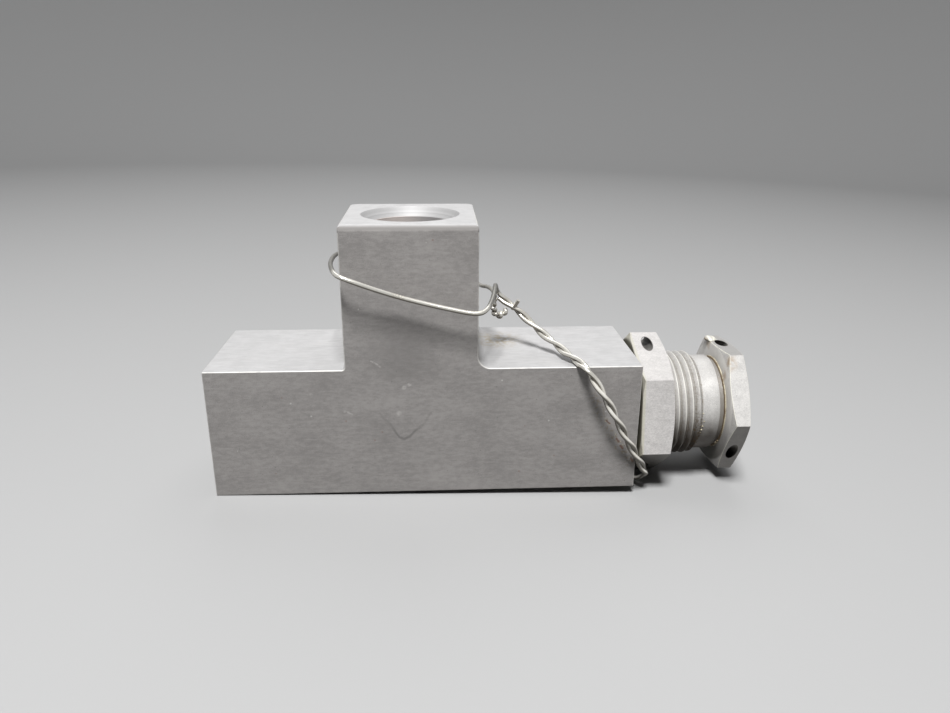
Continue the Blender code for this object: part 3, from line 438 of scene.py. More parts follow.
def blot(place, middle, radius, soft=0.6):
    """A round mark at a point in mm: 1 at its middle and 0 past its radius."""
    away = place.node("ShaderNodeVectorMath", {"operation": "DISTANCE"}, {0: place, 1: middle}, output=1)
    return away.rise(radius, radius * (1 - soft))


def stroke(place, points, width):
    """A soft line on the front through points given as (x, z) in mm: 1 on it and 0 a width away."""
    x, y, z = place.parts()
    nearest = None
    for (ax, az), (bx, bz) in zip(points, points[1:]):
        dx = bx - ax
        dz = bz - az
        along = ((x - ax) * dx + (z - az) * dz) / (dx * dx + dz * dz)
        along = along.most(0).least(1)
        off_x = x - ax - along * dx
        off_z = z - az - along * dz
        away = (off_x * off_x + off_z * off_z).root()
        nearest = away if nearest is None else nearest.least(away)
    return nearest.rise(width, 0.25 * width)


BLOCK_TONE = (0.325, 0.31, 0.30)
UPWARD_LIT_TONE = (0.50, 0.495, 0.495)
WORN_TONE = (0.74, 0.73, 0.69, 1)
RED_BROWN = (0.24, 0.13, 0.11, 1)
DRIP = [(-4.6, 12.5), (-3.9, 11.5), (-3.2, 10.8), (-2.5, 9.8), (-1.96, 8.8), (-1.25, 8.44), (-0.5, 8.8),
        (0.53, 9.95), (1.6, 10.95), (2.45, 12.5)]
BRIGHT_SPOTS = [((-1.96, -9.5, 12.5), 0.5), ((-1.1, -9.5, 16.4), 0.42), ((-0.35, -9.5, 16.75), 0.35),
                ((-13.9, -9.5, 15.5), 0.3)]
BRIGHT_DASHES = [([(-9.6, 12.9), (-8.5, 12.45)], 0.2), ([(-5.5, 20.3), (-4.3, 19.6)], 0.16)]
WIRE_RUB = [(25.6, 14.6), (26.9, 11.4), (28.4, 8.6), (29.9, 6.4), (31.6, 4.2)]
FLAKES = [([(27.6, 10.8), (28.2, 10.3)], 0.17), ([(29.3, 7.9), (29.75, 7.4)], 0.2),
          ([(30.0, 6.7), (30.3, 6.3)], 0.2), ([(31.7, 4.6), (32.0, 4.1)], 0.2)]
FLAKE_DUST = [(27.4, 10.9), (28.4, 10.1), (29.9, 7.1), (30.8, 5.6)]
block_finish, shader, place, colour, grain = aluminium("block_aluminium", BLOCK_TONE, 3.5, (2.2, 1, 1))
x, y, z = place.parts()
sideways, inward, upward = facing(place)
brushed = place.cloud(0.13, 4.0, (16, 1.6, 1.6))
# Painted light: faces that look upwards get a lighter tone than the front, for the light that falls on them
# from above.
lit_top_colour = (brushed * 0.6 + place.cloud(2.0, 5.0) * 0.4).rise(0.32, 0.68).blend(
    tinted(UPWARD_LIT_TONE, 0.90), tinted(UPWARD_LIT_TONE, 1.08))
colour = upward.rise(0.2, 0.9).blend(colour, lit_top_colour)
faint_streaks = place.cloud(0.22, 3.0, (14, 1.5, 1.5)).rise(0.56, 0.75)
colour = (faint_streaks * 0.35).blend(colour, tinted(BLOCK_TONE, 1.35))
dark_streaks = place.cloud(0.16, 3.0, (9, 1.2, 1.2), (0, math.radians(-4), 0)).rise(0.60, 0.75)
colour = (dark_streaks * 0.35).blend(colour, tinted(BLOCK_TONE, 0.7))
front = (0 - y).rise(9.25, 9.4)
# A broad darker patch on the upright's front below the wire's loop: partly painted shade of the wire, partly
# a stain.
stain_and_shade_patch = front * blot(place, (-1.0, -9.5, 22.0), 8.0, 0.9)
colour = (stain_and_shade_patch * 0.45).blend(colour, tinted(BLOCK_TONE, 0.6))
loose = shaken(place, 1.5, 0.5)
drip_edge = front * stroke(loose, DRIP, 0.26)
drip_edge = drip_edge * (0.4 + z.rise(11.0, 9.2) * 0.6)
colour = (drip_edge * 0.65).blend(colour, tinted(BLOCK_TONE, 0.5))
bright_marks = 0
for middle, radius in BRIGHT_SPOTS:
    bright_marks = blot(loose, middle, radius) + bright_marks
for ends, width in BRIGHT_DASHES:
    bright_marks = stroke(loose, ends, width) + bright_marks
bright_marks = front * bright_marks.least(1) * place.cloud(0.3, 3.0).rise(0.35, 0.55)
colour = (bright_marks * 0.55).blend(colour, tinted(BLOCK_TONE, 1.75))
white_specks = place.specks(3.6, 0.15) * front
colour = (white_specks * 0.6).blend(colour, (0.72, 0.71, 0.69, 1))
red_specks = place.specks(5.0, 0.2) * front
colour = (red_specks * 0.5).blend(colour, RED_BROWN)
rub = front * stroke(loose, WIRE_RUB, 1.1) * place.cloud(0.5, 4.0).rise(0.48, 0.66)
colour = (rub * 0.55).blend(colour, (0.25, 0.20, 0.13, 1))
flakes = 0
for ends, width in FLAKES:
    flakes = stroke(loose, ends, width).most(flakes)
dust = stroke(loose, FLAKE_DUST, 0.55) * place.specks(0.45, 0.14)
colour = (front * dust * 0.7).blend(colour, (0.60, 0.56, 0.42, 1))
colour = (front * flakes * 0.75).blend(colour, (0.17, 0.08, 0.05, 1))
# A darker, patchy mark on the bar's front at its lower right, beside the wire's lower end.
dark_patch_by_wire_end = front * blot(loose, (31.9, -9.5, 4.4), 1.7, 0.9) * place.cloud(0.4, 4.0).rise(0.38, 0.6)
colour = (dark_patch_by_wire_end * 0.6).blend(colour, (0.10, 0.095, 0.075, 1))
sweat = blot(loose, (12.6, 3.0, 19.0), 5.5, 0.9) * place.cloud(0.7, 5.0).rise(0.40, 0.62)
colour = (sweat * 0.65).blend(colour, (0.36, 0.29, 0.17, 1))
level_scratches = place.cloud(0.05, 1.0, (70, 1, 1), (0, math.radians(8), 0)).rise(0.70, 0.76)
cross_scratches = place.cloud(0.05, 1.0, (55, 1, 1), (0, math.radians(62), 0)).rise(0.71, 0.77)
scratches = level_scratches.most(cross_scratches) * place.cloud(4.0, 2.0).rise(0.48, 0.62)
colour = (scratches * 0.35).blend(colour, tinted(BLOCK_TONE, 1.6))
across_port = (x * x + y * y).root()
# The countersink takes the same lighter, painted-light tone, over fine turning marks.
in_sink = z.rise(37.4, 37.7) * across_port.rise(7.1, 7.0)
arcs = across_port.node("ShaderNodeCombineXYZ", inputs={0: across_port, 1: z}).cloud(0.10, 2.0)
colour = in_sink.blend(colour, arcs.rise(0.38, 0.62).blend(tinted(UPWARD_LIT_TONE, 0.70), tinted(UPWARD_LIT_TONE, 0.95)))
flatness = sideways.size().most(inward.size()).most(upward.size())
skin = y.size().rise(9.22, 9.3).most(z.rise(38.6, 38.7))
skin = skin.most(x.rise(32.1, 32.2)).most((0 - x).rise(28.25, 28.35))
patchy = 0.35 + place.cloud(1.2, 4.0).rise(0.3, 0.55) * 0.65
worn = flatness.rise(0.985, 0.90) * skin * patchy * (1 - in_sink)
top_front = z.rise(37.9, 38.05) * (0 - y).rise(8.4, 8.6)
worn = worn * (1 - top_front)
colour = (worn * 0.75).blend(colour, WORN_TONE)
# Painted shade: the lower part of the rounded top front edge, which turns away from the light, is darkened.
rolled_edge_shade = top_front * (0 - inward).rise(0.25, 0.85) * (0 - inward).rise(0.99, 0.90)
colour = rolled_edge_shade.blend(colour, tinted(BLOCK_TONE, 0.80))
# Painted light and shade on the upright port's wall below the countersink: lighter to the left, darker to the
# right.
port_wall_shading = across_port.rise(6.6, 6.4) * z.rise(37.75, 37.65)
colour = port_wall_shading.blend(colour, x.rise(-3.5, 3.0).blend((0.62, 0.56, 0.53, 1), (0.33, 0.32, 0.32, 1)))
rough = 0.52 + grain * 0.10 - worn * 0.05 - drip_edge * 0.15 + top_front * 0.25
relief = grain * 0.6 + arcs * in_sink * 0.8 - scratches * 0.5 - drip_edge * 0.5
feed(shader, Base_Color=colour, Roughness=rough, Normal=bumped(relief, 0.010 * MM))
block.data.materials.append(block_finish)
smooth(block)
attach(block, "valve_body")
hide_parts("tee_body")

# The inlet screen: a disc punched from stainless sheet, with nineteen holes, that keeps dirt off the seat.
# It lies at the bottom of a pocket behind the left port.
SCREEN_HOLE = 0.42 * MM
SCREEN_PITCH = 1.25 * MM


def ray_across(angle):
    """Unit vector square to the bore, at an angle above the front."""
    return Vector((0, -math.cos(angle), math.sin(angle)))


def reach(node):
    """The left end, right end and outer radius of a turned node on the bar's bore axis."""
    low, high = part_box(node)
    return low.x, high.x, (high.y - low.y) / 2


def eased(piece, width):
    """Rounds a turned piece's sharp edges and shades it."""
    modify(piece, "BEVEL", width=width, segments=2, limit_method="ANGLE", angle_limit=math.radians(40))
    smooth(piece)


def box_tool(name, low, high):
    """A straight cutter between two corners."""
    bpy.ops.object.select_all(action="DESELECT")
    bpy.ops.mesh.primitive_cube_add(size=1, location=(low + high) / 2, scale=high - low)
    tool = begin(name)
    done()
    return tool


def on_the_bore(place):
    """The place along the bar's bore, its height over the axis and its distance from the axis, in mm."""
    along, across, up = place.parts()
    height = up - AXIS_Z / MM
    return along, height, (across * across + height * height).root()


def lathe_marks(place, grain=0.07):
    """Fine rings round the bar's bore axis, as a tool leaves them on faces and round surfaces alike."""
    along, height, radius = on_the_bore(place)
    rings = radius.node("ShaderNodeCombineXYZ", inputs={0: along, 1: radius})
    return rings.cloud(grain, 2.0)


def turned_steel(name, tone, roughness, metallic=0.9):
    """Steel from a lathe, with fine rings and a little mottling."""
    material, shader, place = new_finish(name, metallic, roughness)
    marks = lathe_marks(place)
    level = marks * 0.6 + place.cloud(2.5, 4.0) * 0.4
    colour = level.rise(0.3, 0.7).blend(tinted(tone, 0.82), tinted(tone, 1.14))
    rough = roughness - 0.08 + level * 0.16
    feed(shader, Base_Color=colour, Roughness=rough, Normal=bumped(marks, 0.004 * MM))
    return material


SCREEN_LEFT, SCREEN_RIGHT, SCREEN_RADIUS = reach("inlet_screen")
screen = turned("perforated_screen", [(SCREEN_RIGHT, 0), (SCREEN_RIGHT, SCREEN_RADIUS),
                                      (SCREEN_LEFT, SCREEN_RADIUS), (SCREEN_LEFT, 0)])
bpy.ops.object.select_all(action="DESELECT")
bpy.ops.mesh.primitive_cylinder_add(vertices=24, radius=SCREEN_HOLE, depth=4 * (SCREEN_RIGHT - SCREEN_LEFT),
                                    location=((SCREEN_LEFT + SCREEN_RIGHT) / 2, 0, AXIS_Z),
                                    rotation=(0, math.pi / 2, 0))
punch = begin("punch")
done()
others = []
for ring in (1, 2):
    for i in range(6 * ring):
        other = punch.copy()
        other.data = punch.data.copy()
        bpy.context.scene.collection.objects.link(other)
        other.location = ray_across(math.tau * (i + 0.5) / (6 * ring)) * ring * SCREEN_PITCH
        others.append(other)
alone(punch)
for other in others:
    other.select_set(True)
bpy.ops.object.join()
cut(screen, punch)
eased(screen, 0.04 * MM)
screen.data.materials.append(turned_steel("screen_steel", (0.50, 0.50, 0.48), 0.38))
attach(screen, "valve_body")
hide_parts("inlet_screen")

# The snap ring: flat spring steel, open at the top, that springs into the pocket's wall and keeps the
# screen at the bottom.
SNAP_WIDTH = 1.0 * MM
SNAP_OPENING = 3.2 * MM
SNAP_LEFT, SNAP_RIGHT, SNAP_RADIUS = reach("screen_ring")
snap_ring = turned("snap_ring", [(SNAP_RIGHT, SNAP_RADIUS), (SNAP_LEFT, SNAP_RADIUS),
                                 (SNAP_LEFT, SNAP_RADIUS - SNAP_WIDTH),
                                 (SNAP_RIGHT, SNAP_RADIUS - SNAP_WIDTH)],
                   ring=True, start=OUT_OF_STEP)
cut(snap_ring, box_tool("snap_opening", Vector((SNAP_LEFT - PAST, -SNAP_OPENING / 2, AXIS_Z)),
                        Vector((SNAP_RIGHT + PAST, SNAP_OPENING / 2, AXIS_Z + 2 * SNAP_RADIUS))))
eased(snap_ring, 0.08 * MM)


def drawn_steel(name, tone, roughness):
    """Spring steel as it comes from the die and the oven: dark, smooth and faintly mottled."""
    material, shader, place = new_finish(name, 0.9, roughness)
    mottle = place.cloud(0.9, 5.0)
    grain = place.cloud(0.06, 3.0)
    straw = [1.2 * tone[0], 1.12 * tone[1], 1.05 * tone[2], 1]
    tint = mottle.rise(0.35, 0.68).blend(tinted(tone, 0.75), straw)
    rough = roughness - 0.07 + mottle * 0.14
    feed(shader, Base_Color=tint, Roughness=rough, Normal=bumped(grain, 0.002 * MM))
    return material


spring_steel = drawn_steel("spring_steel", (0.32, 0.32, 0.33), 0.34)
snap_ring.data.materials.append(spring_steel)
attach(snap_ring, "valve_body")
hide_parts("screen_ring")

# The valve seat: a stainless insert turned with a narrow raised lip round its hole, which the poppet's
# soft face closes on. It is pushed into the block from the right.
SEAT_LEFT, SEAT_LIP, SEAT_RADIUS = reach("valve_seat")
SEAT_HOLE = 2.5 * MM
SEAT_LIP_WIDTH = 0.5 * MM
SEAT_FACE = X_CHAMBER
SEAT_GROOVE = 4.1 * MM
SEAT_GROOVE_LEFT = SEAT_LEFT + 1.0 * MM
SEAT_GROOVE_RIGHT = SEAT_GROOVE_LEFT + 1.4 * MM
seat = turned("seat_insert", [
    (SEAT_LIP, SEAT_HOLE + SEAT_LIP_WIDTH), (SEAT_FACE + 0.25 * MM, SEAT_HOLE + SEAT_LIP_WIDTH),
    (SEAT_FACE, SEAT_HOLE + SEAT_LIP_WIDTH + 0.25 * MM), (SEAT_FACE, SEAT_RADIUS),
    (SEAT_GROOVE_RIGHT, SEAT_RADIUS), (SEAT_GROOVE_RIGHT, SEAT_GROOVE), (SEAT_GROOVE_LEFT, SEAT_GROOVE),
    (SEAT_GROOVE_LEFT, SEAT_RADIUS), (SEAT_LEFT + 0.4 * MM, SEAT_RADIUS),
    (SEAT_LEFT, SEAT_RADIUS - 0.4 * MM), (SEAT_LEFT, SEAT_HOLE + 0.5 * MM),
    (SEAT_LEFT + 0.5 * MM, SEAT_HOLE), (SEAT_LIP, SEAT_HOLE)], ring=True)
eased(seat, 0.07 * MM)
stainless = turned_steel("stainless_steel", (0.55, 0.55, 0.54), 0.30)
seat.data.materials.append(stainless)
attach(seat, "valve_body")
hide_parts("valve_seat")

# The seat's O-ring: black nitrile rubber, moulded in two halves, so a fine flash line runs round its
# inside and outside. It lies in the groove round the seat insert.
def moulded_ring(name, node, section, steps=120):
    """A round-section ring that fills a node's box, with its mould's flash line."""
    left, right, radius = reach(node)
    middle = (left + right) / 2
    outline = []
    for i in range(24):
        angle = math.tau * i / 24
        swell = 1.04 if i in (0, 12) else 1.0
        outline.append((middle + section * math.sin(angle),
                        radius - section - section * swell * math.cos(angle)))
    made = turned(name, outline, steps, ring=True)
    smooth(made, 60)
    return made


def soft_black(name, tone, roughness):
    """Black rubber with a matte skin, a faint bloom and traces of grease."""
    material, shader, place = new_finish(name, 0.0, roughness)
    bloom = place.cloud(1.3, 5.0)
    skin = place.cloud(0.05, 3.0)
    colour = bloom.rise(0.45, 0.75).blend(tinted(tone, 1.0), tinted(tone, 2.4))
    feed(shader, Base_Color=colour, Roughness=roughness + 0.12 - bloom * 0.3, Normal=bumped(skin, 0.004 * MM))
    return material


rubber = soft_black("nitrile_rubber", (0.018, 0.018, 0.019), 0.55)
seat_ring = moulded_ring("seat_ring_seal", "seat_o_ring", 0.5 * MM)
seat_ring.data.materials.append(rubber)
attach(seat_ring, "valve_body")
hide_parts("seat_o_ring")

# The poppet: a stainless piston turned with a short tail for its spring seat, and drilled and tapped in its
# face for the screw. It slides in the cage.
POPPET_LEFT, POPPET_RIGHT, POPPET_RADIUS = reach("poppet")
TAIL_LENGTH = 2.0 * MM
TAIL_RADIUS = 2.0 * MM
SCREW_BORE = 1.3 * MM
SCREW_BORE_END = 2.9 * MM
shoulder = POPPET_RIGHT - TAIL_LENGTH
poppet = turned("poppet_piston", [
    (POPPET_RIGHT, 0), (POPPET_RIGHT, TAIL_RADIUS - 0.2 * MM), (POPPET_RIGHT - 0.2 * MM, TAIL_RADIUS),
    (shoulder, TAIL_RADIUS), (shoulder, POPPET_RADIUS - 0.4 * MM), (shoulder - 0.4 * MM, POPPET_RADIUS),
    (POPPET_LEFT + 0.15 * MM, POPPET_RADIUS), (POPPET_LEFT, POPPET_RADIUS - 0.15 * MM),
    (POPPET_LEFT, SCREW_BORE + 0.2 * MM), (POPPET_LEFT + 0.2 * MM, SCREW_BORE), (SCREW_BORE_END, SCREW_BORE),
    (SCREW_BORE_END + 0.5 * MM, 0)])
eased(poppet, 0.06 * MM)
poppet.data.materials.append(stainless)
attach(poppet, "poppet_group")
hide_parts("poppet")

# The poppet's soft face: a disc of hard black rubber. The seat's lip has pressed a shallow ring into it.
FACE_LEFT, FACE_RIGHT, FACE_RADIUS = reach("poppet_seal")
PRINT_DEPTH = 0.06 * MM
soft_face = turned("soft_face_disc", [
    (FACE_RIGHT, FACE_RADIUS), (FACE_LEFT, FACE_RADIUS), (FACE_LEFT, SEAT_HOLE + SEAT_LIP_WIDTH + 0.08 * MM),
    (FACE_LEFT + PRINT_DEPTH, SEAT_HOLE + SEAT_LIP_WIDTH), (FACE_LEFT + PRINT_DEPTH, SEAT_HOLE),
    (FACE_LEFT, SEAT_HOLE - 0.08 * MM), (FACE_LEFT, SCREW_BORE), (FACE_RIGHT, SCREW_BORE)], ring=True)
eased(soft_face, 0.09 * MM)
soft_face.data.materials.append(soft_black("hard_rubber", (0.028, 0.027, 0.026), 0.62))
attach(soft_face, "poppet_group")
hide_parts("poppet_seal")

# The clamp washer: punched from stainless sheet, so its upper edge is rounder than its lower one. It
# holds the soft face flat.
WASHER_LEFT, WASHER_RIGHT, WASHER_RADIUS = reach("seal_washer")
washer = turned("clamp_washer", [
    (WASHER_RIGHT, WASHER_RADIUS), (WASHER_LEFT + 0.15 * MM, WASHER_RADIUS),
    (WASHER_LEFT, WASHER_RADIUS - 0.15 * MM), (WASHER_LEFT, SCREW_BORE + 0.1 * MM),
    (WASHER_LEFT + 0.1 * MM, SCREW_BORE), (WASHER_RIGHT, SCREW_BORE)], ring=True)
eased(washer, 0.05 * MM)
washer.data.materials.append(stainless)
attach(washer, "poppet_group")
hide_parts("seal_washer")

# The seal screw: a small stainless cheese-head screw with a straight slot, through the washer and the
# soft face into the poppet.
SCREW_LEFT, SCREW_TIP, SCREW_HEAD = reach("seal_screw")
SCREW_HEAD_HEIGHT = 1.2 * MM
SCREW_SLOT = 0.5 * MM
SCREW_SLOT_DEPTH = 0.6 * MM
SCREW_PITCH = 0.4 * MM
SCREW_VALLEY = 0.697 * MM
SCREW_ROOT = 0.77 * MM
SCREW_CREST = 1.0 * MM
SCREW_CORE = 0.74 * MM
under_head = SCREW_LEFT + SCREW_HEAD_HEIGHT
screw = turned("seal_screw_body", [
    (under_head + 0.8 * MM, 0), (under_head + 0.8 * MM, SCREW_CORE), (under_head, SCREW_CORE),
    (under_head, SCREW_HEAD), (SCREW_LEFT + 0.3 * MM, SCREW_HEAD),
    (SCREW_LEFT + 0.1 * MM, SCREW_HEAD - 0.1 * MM),
    (SCREW_LEFT, SCREW_HEAD - 0.35 * MM), (SCREW_LEFT, 0)], 64)
thread = lay_along_bar(thread_rod("screw_thread", SCREW_PITCH, SCREW_VALLEY, SCREW_ROOT, SCREW_CREST,
                                  under_head + 0.3 * MM, SCREW_TIP, 32))
cut(thread, turned("screw_form", [
    (SCREW_TIP, 0), (SCREW_TIP, SCREW_CORE + 0.01 * MM), (SCREW_TIP - 0.3 * MM, SCREW_CREST + 0.05 * MM),
    (under_head + 0.35 * MM, SCREW_CREST + 0.05 * MM), (under_head + 0.05 * MM, SCREW_CORE + 0.01 * MM),
    (under_head + 0.05 * MM, 0)], 64, start=OUT_OF_STEP), "INTERSECT")
cut(screw, thread, "UNION")
cut(screw, box_tool("screw_slot", Vector((SCREW_LEFT - PAST, -2 * SCREW_HEAD, AXIS_Z - SCREW_SLOT / 2)),
                    Vector((SCREW_LEFT + SCREW_SLOT_DEPTH, 2 * SCREW_HEAD, AXIS_Z + SCREW_SLOT / 2))))
smooth(screw)
screw.data.materials.append(stainless)
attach(screw, "poppet_group")
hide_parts("seal_screw")

# The front spring seat: a flanged stainless ring turned to slip on the poppet's tail and centre the
# spring on its hub.
FRONT_SEAT_LEFT, FRONT_SEAT_RIGHT, SPRING_SEAT_RADIUS = reach("front_spring_seat")
SEAT_FLANGE = 1.2 * MM
HUB_RADIUS = 2.6 * MM
front_flange = FRONT_SEAT_LEFT + SEAT_FLANGE
front_seat = turned("front_seat_ring", [
    (FRONT_SEAT_RIGHT, HUB_RADIUS - 0.15 * MM), (FRONT_SEAT_RIGHT - 0.3 * MM, HUB_RADIUS),
    (front_flange, HUB_RADIUS), (front_flange, SPRING_SEAT_RADIUS), (FRONT_SEAT_LEFT, SPRING_SEAT_RADIUS),
    (FRONT_SEAT_LEFT, TAIL_RADIUS + 0.3 * MM), (FRONT_SEAT_RIGHT, TAIL_RADIUS + 0.3 * MM)], ring=True)
eased(front_seat, 0.08 * MM)
front_seat.data.materials.append(stainless)
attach(front_seat, "poppet_group")
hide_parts("front_spring_seat")

# The cage: a stainless sleeve that holds the seat down and guides the poppet. Four windows milled through
# its turned-down waist let the flow out to the upright's port.
CAGE_LEFT, CAGE_RIGHT, CAGE_RADIUS = reach("poppet_cage")
CAGE_BASE = 2.0 * MM
CAGE_GUIDE = 2.5 * MM
CAGE_WAIST = 0.6 * MM
WINDOW_HALF = 2.2 * MM
WINDOW_INSET = 0.2 * MM
guide_bore = POPPET_RADIUS + 0.3 * MM
base_right = CAGE_LEFT + CAGE_BASE
guide_left = CAGE_RIGHT - CAGE_GUIDE
cage = turned("poppet_sleeve", [
    (CAGE_RIGHT, CAGE_RADIUS), (guide_left, CAGE_RADIUS), (guide_left, CAGE_RADIUS - CAGE_WAIST),
    (base_right, CAGE_RADIUS - CAGE_WAIST), (base_right, CAGE_RADIUS), (CAGE_LEFT, CAGE_RADIUS),
    (CAGE_LEFT, guide_bore), (CAGE_RIGHT, guide_bore)], ring=True, start=OUT_OF_STEP)
for half_y, half_z in ((WINDOW_HALF, 2 * CAGE_RADIUS), (2 * CAGE_RADIUS, WINDOW_HALF)):
    window = box_tool("window", Vector((base_right + WINDOW_INSET, -half_y, AXIS_Z - half_z)),
                      Vector((guide_left - WINDOW_INSET, half_y, AXIS_Z + half_z)))
    cut(cage, window)
eased(cage, 0.09 * MM)
cage.data.materials.append(stainless)
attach(cage, "valve_body")
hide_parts("poppet_cage")

# The relief spring: wound from drawn spring wire with its ends closed and ground flat. It stands between
# the poppet's seat and the plug's, inside the plug's bore.
SPRING_WIRE = 0.6 * MM
SPRING_MEAN = 3.5 * MM
SPRING_START = 11.0 * MM
SPRING_END = 31.54 * MM
SPRING_ACTIVE = 7
CLOSED_PITCH = 1.35 * MM
SPRING_STEPS = 36
GROUND_OFF = 0.22 * MM


def round_wire(name, points, radius, sides=4):
    """A length of round wire through the points, as a closed mesh."""
    curve = bpy.data.curves.new(name, "CURVE")
    curve.dimensions = "3D"
    curve.bevel_depth = radius
    curve.bevel_resolution = sides
    curve.use_fill_caps = True
    line = curve.splines.new("POLY")
    line.points.add(len(points) - 1)
    for point, at in zip(line.points, points):
        point.co = (*at, 1)
    made = bpy.data.objects.new(name, curve)
    bpy.context.scene.collection.objects.link(made)
    alone(made)
    bpy.ops.object.convert(target="MESH")
    bpy.ops.object.mode_set(mode="EDIT")
    bpy.ops.mesh.select_all(action="SELECT")
    bpy.ops.mesh.remove_doubles(threshold=MM / 1000)
    done()
    return made


open_pitch = (SPRING_END - SPRING_START - 2 * CLOSED_PITCH) / SPRING_ACTIVE
along = SPRING_START
coil = [Vector((along, 0, AXIS_Z)) + ray_across(0) * SPRING_MEAN]
for pitch in [CLOSED_PITCH] + [open_pitch] * SPRING_ACTIVE + [CLOSED_PITCH]:
    for i in range(1, SPRING_STEPS + 1):
        centre_at = Vector((along + pitch * i / SPRING_STEPS, 0, AXIS_Z))
        coil.append(centre_at + ray_across(math.tau * i / SPRING_STEPS) * SPRING_MEAN)
    along += pitch
spring = round_wire("coil_spring", coil, SPRING_WIRE, 6)
alone(spring)
bpy.ops.object.mode_set(mode="EDIT")
for place, clear_below in ((SPRING_START - SPRING_WIRE + GROUND_OFF, True),
                           (SPRING_END + SPRING_WIRE - GROUND_OFF, False)):
    bpy.ops.mesh.select_all(action="SELECT")
    bpy.ops.mesh.bisect(plane_co=(place, 0, 0), plane_no=(1, 0, 0), use_fill=True, threshold=MM / 10000,
                        clear_inner=clear_below, clear_outer=not clear_below)
done()
smooth(spring, 50)
spring.data.materials.append(spring_steel)
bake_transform(spring)
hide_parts("relief_spring")

# The rear spring seat: a stainless button with a hub for the spring and a conical socket for the ball.
REAR_HUB_LEFT, REAR_SEAT_RIGHT, REAR_SEAT_RADIUS = reach("rear_spring_seat")
REAR_FLANGE_LEFT = REAR_HUB_LEFT + 1.6 * MM
SOCKET_APEX = REAR_FLANGE_LEFT + 0.6 * MM
SOCKET_RIM = REAR_SEAT_RADIUS - 1.4 * MM
rear_seat = turned("rear_seat_button", [
    (SOCKET_APEX, 0), (REAR_SEAT_RIGHT, SOCKET_RIM), (REAR_SEAT_RIGHT, REAR_SEAT_RADIUS),
    (REAR_FLANGE_LEFT, REAR_SEAT_RADIUS), (REAR_FLANGE_LEFT, HUB_RADIUS),
    (REAR_HUB_LEFT + 0.3 * MM, HUB_RADIUS), (REAR_HUB_LEFT, HUB_RADIUS - 0.15 * MM), (REAR_HUB_LEFT, 0)])
eased(rear_seat, 0.08 * MM)
rear_seat.data.materials.append(stainless)
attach(rear_seat, "spring_carrier")
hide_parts("rear_spring_seat")

# The thrust ball: a hardened, polished steel ball between the rear seat's socket and the plug, so that
# turning the plug doesn't wind the spring up. Contact has dulled a ring on it.
BALL_LEFT, BALL_RIGHT, BALL_RADIUS = reach("thrust_ball")
ball_middle = (BALL_LEFT + BALL_RIGHT) / 2
arc = []
for i in range(33):
    angle = math.pi * i / 32
    arc.append((ball_middle + BALL_RADIUS * math.cos(angle), BALL_RADIUS * math.sin(angle)))
ball = turned("polished_ball", arc, 64)
smooth(ball, 60)
ball_finish, shader, place = new_finish("ball_steel", 1.0, 0.1)
dulled = (place.parts()[0] - (ball_middle - 0.5 * BALL_RADIUS) / MM).size().rise(0.18, 0.06)
smudge = place.cloud(0.8, 4.0)
ball_tone = smudge.rise(0.35, 0.7).blend((0.56, 0.56, 0.57, 1), (0.64, 0.64, 0.64, 1))
feed(shader, Base_Color=ball_tone, Roughness=0.08 + dulled * 0.2 + smudge * 0.08)
ball.data.materials.append(ball_finish)
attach(ball, "spring_carrier")
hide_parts("thrust_ball")

# The adjusting plug: hollow, turned from hexagon aluminium bar, with a 5/8-24 thread up to a plain neck and
# a narrow groove under its head. Its head is drilled across two corners for lock wire, and a wrench has
# mashed the upper of them into a lump. The thread holds dirt.
X_NOSE = 10.0 * MM
X_THREAD = 21.0 * MM
X_BORE_END = 38.0 * MM
X_NECK = 42.61 * MM
X_GROOVE = 45.21 * MM
X_HEAD = 46.11 * MM
HEAD_THICKNESS = 2.82 * MM
HEAD_FLATS = 18.25 * MM
HEAD_TURN = math.radians(32)
HEAD_CHAMFER = 0.42 * MM
HEAD_HOLE_INSET = 2.16 * MM
THREAD_CREST = 7.94 * MM
THREAD_ROOT = 7.29 * MM
THREAD_VALLEY = 7.138 * MM
NECK_RADIUS = 7.28 * MM
GROOVE_RADIUS = 6.8 * MM
NOSE_RADIUS = 6.8 * MM
GLAND_RADIUS = 5.5 * MM
X_GLAND = X_NOSE + 1.2 * MM
GLAND_WIDTH = 3.8 * MM
PLUG_BORE = 4.5 * MM
WIRE_HOLE = 0.8 * MM
HEXAGON_EDGE = 0.09 * MM
FLAT_SHARE = 0.97
LUMP_RADIUS = 0.85 * MM
LUMP_AT = (46.55, 3.5, 18.6)


def spot(x, y, z):
    """A point given in millimetres."""
    return Vector((x, y, z)) * MM


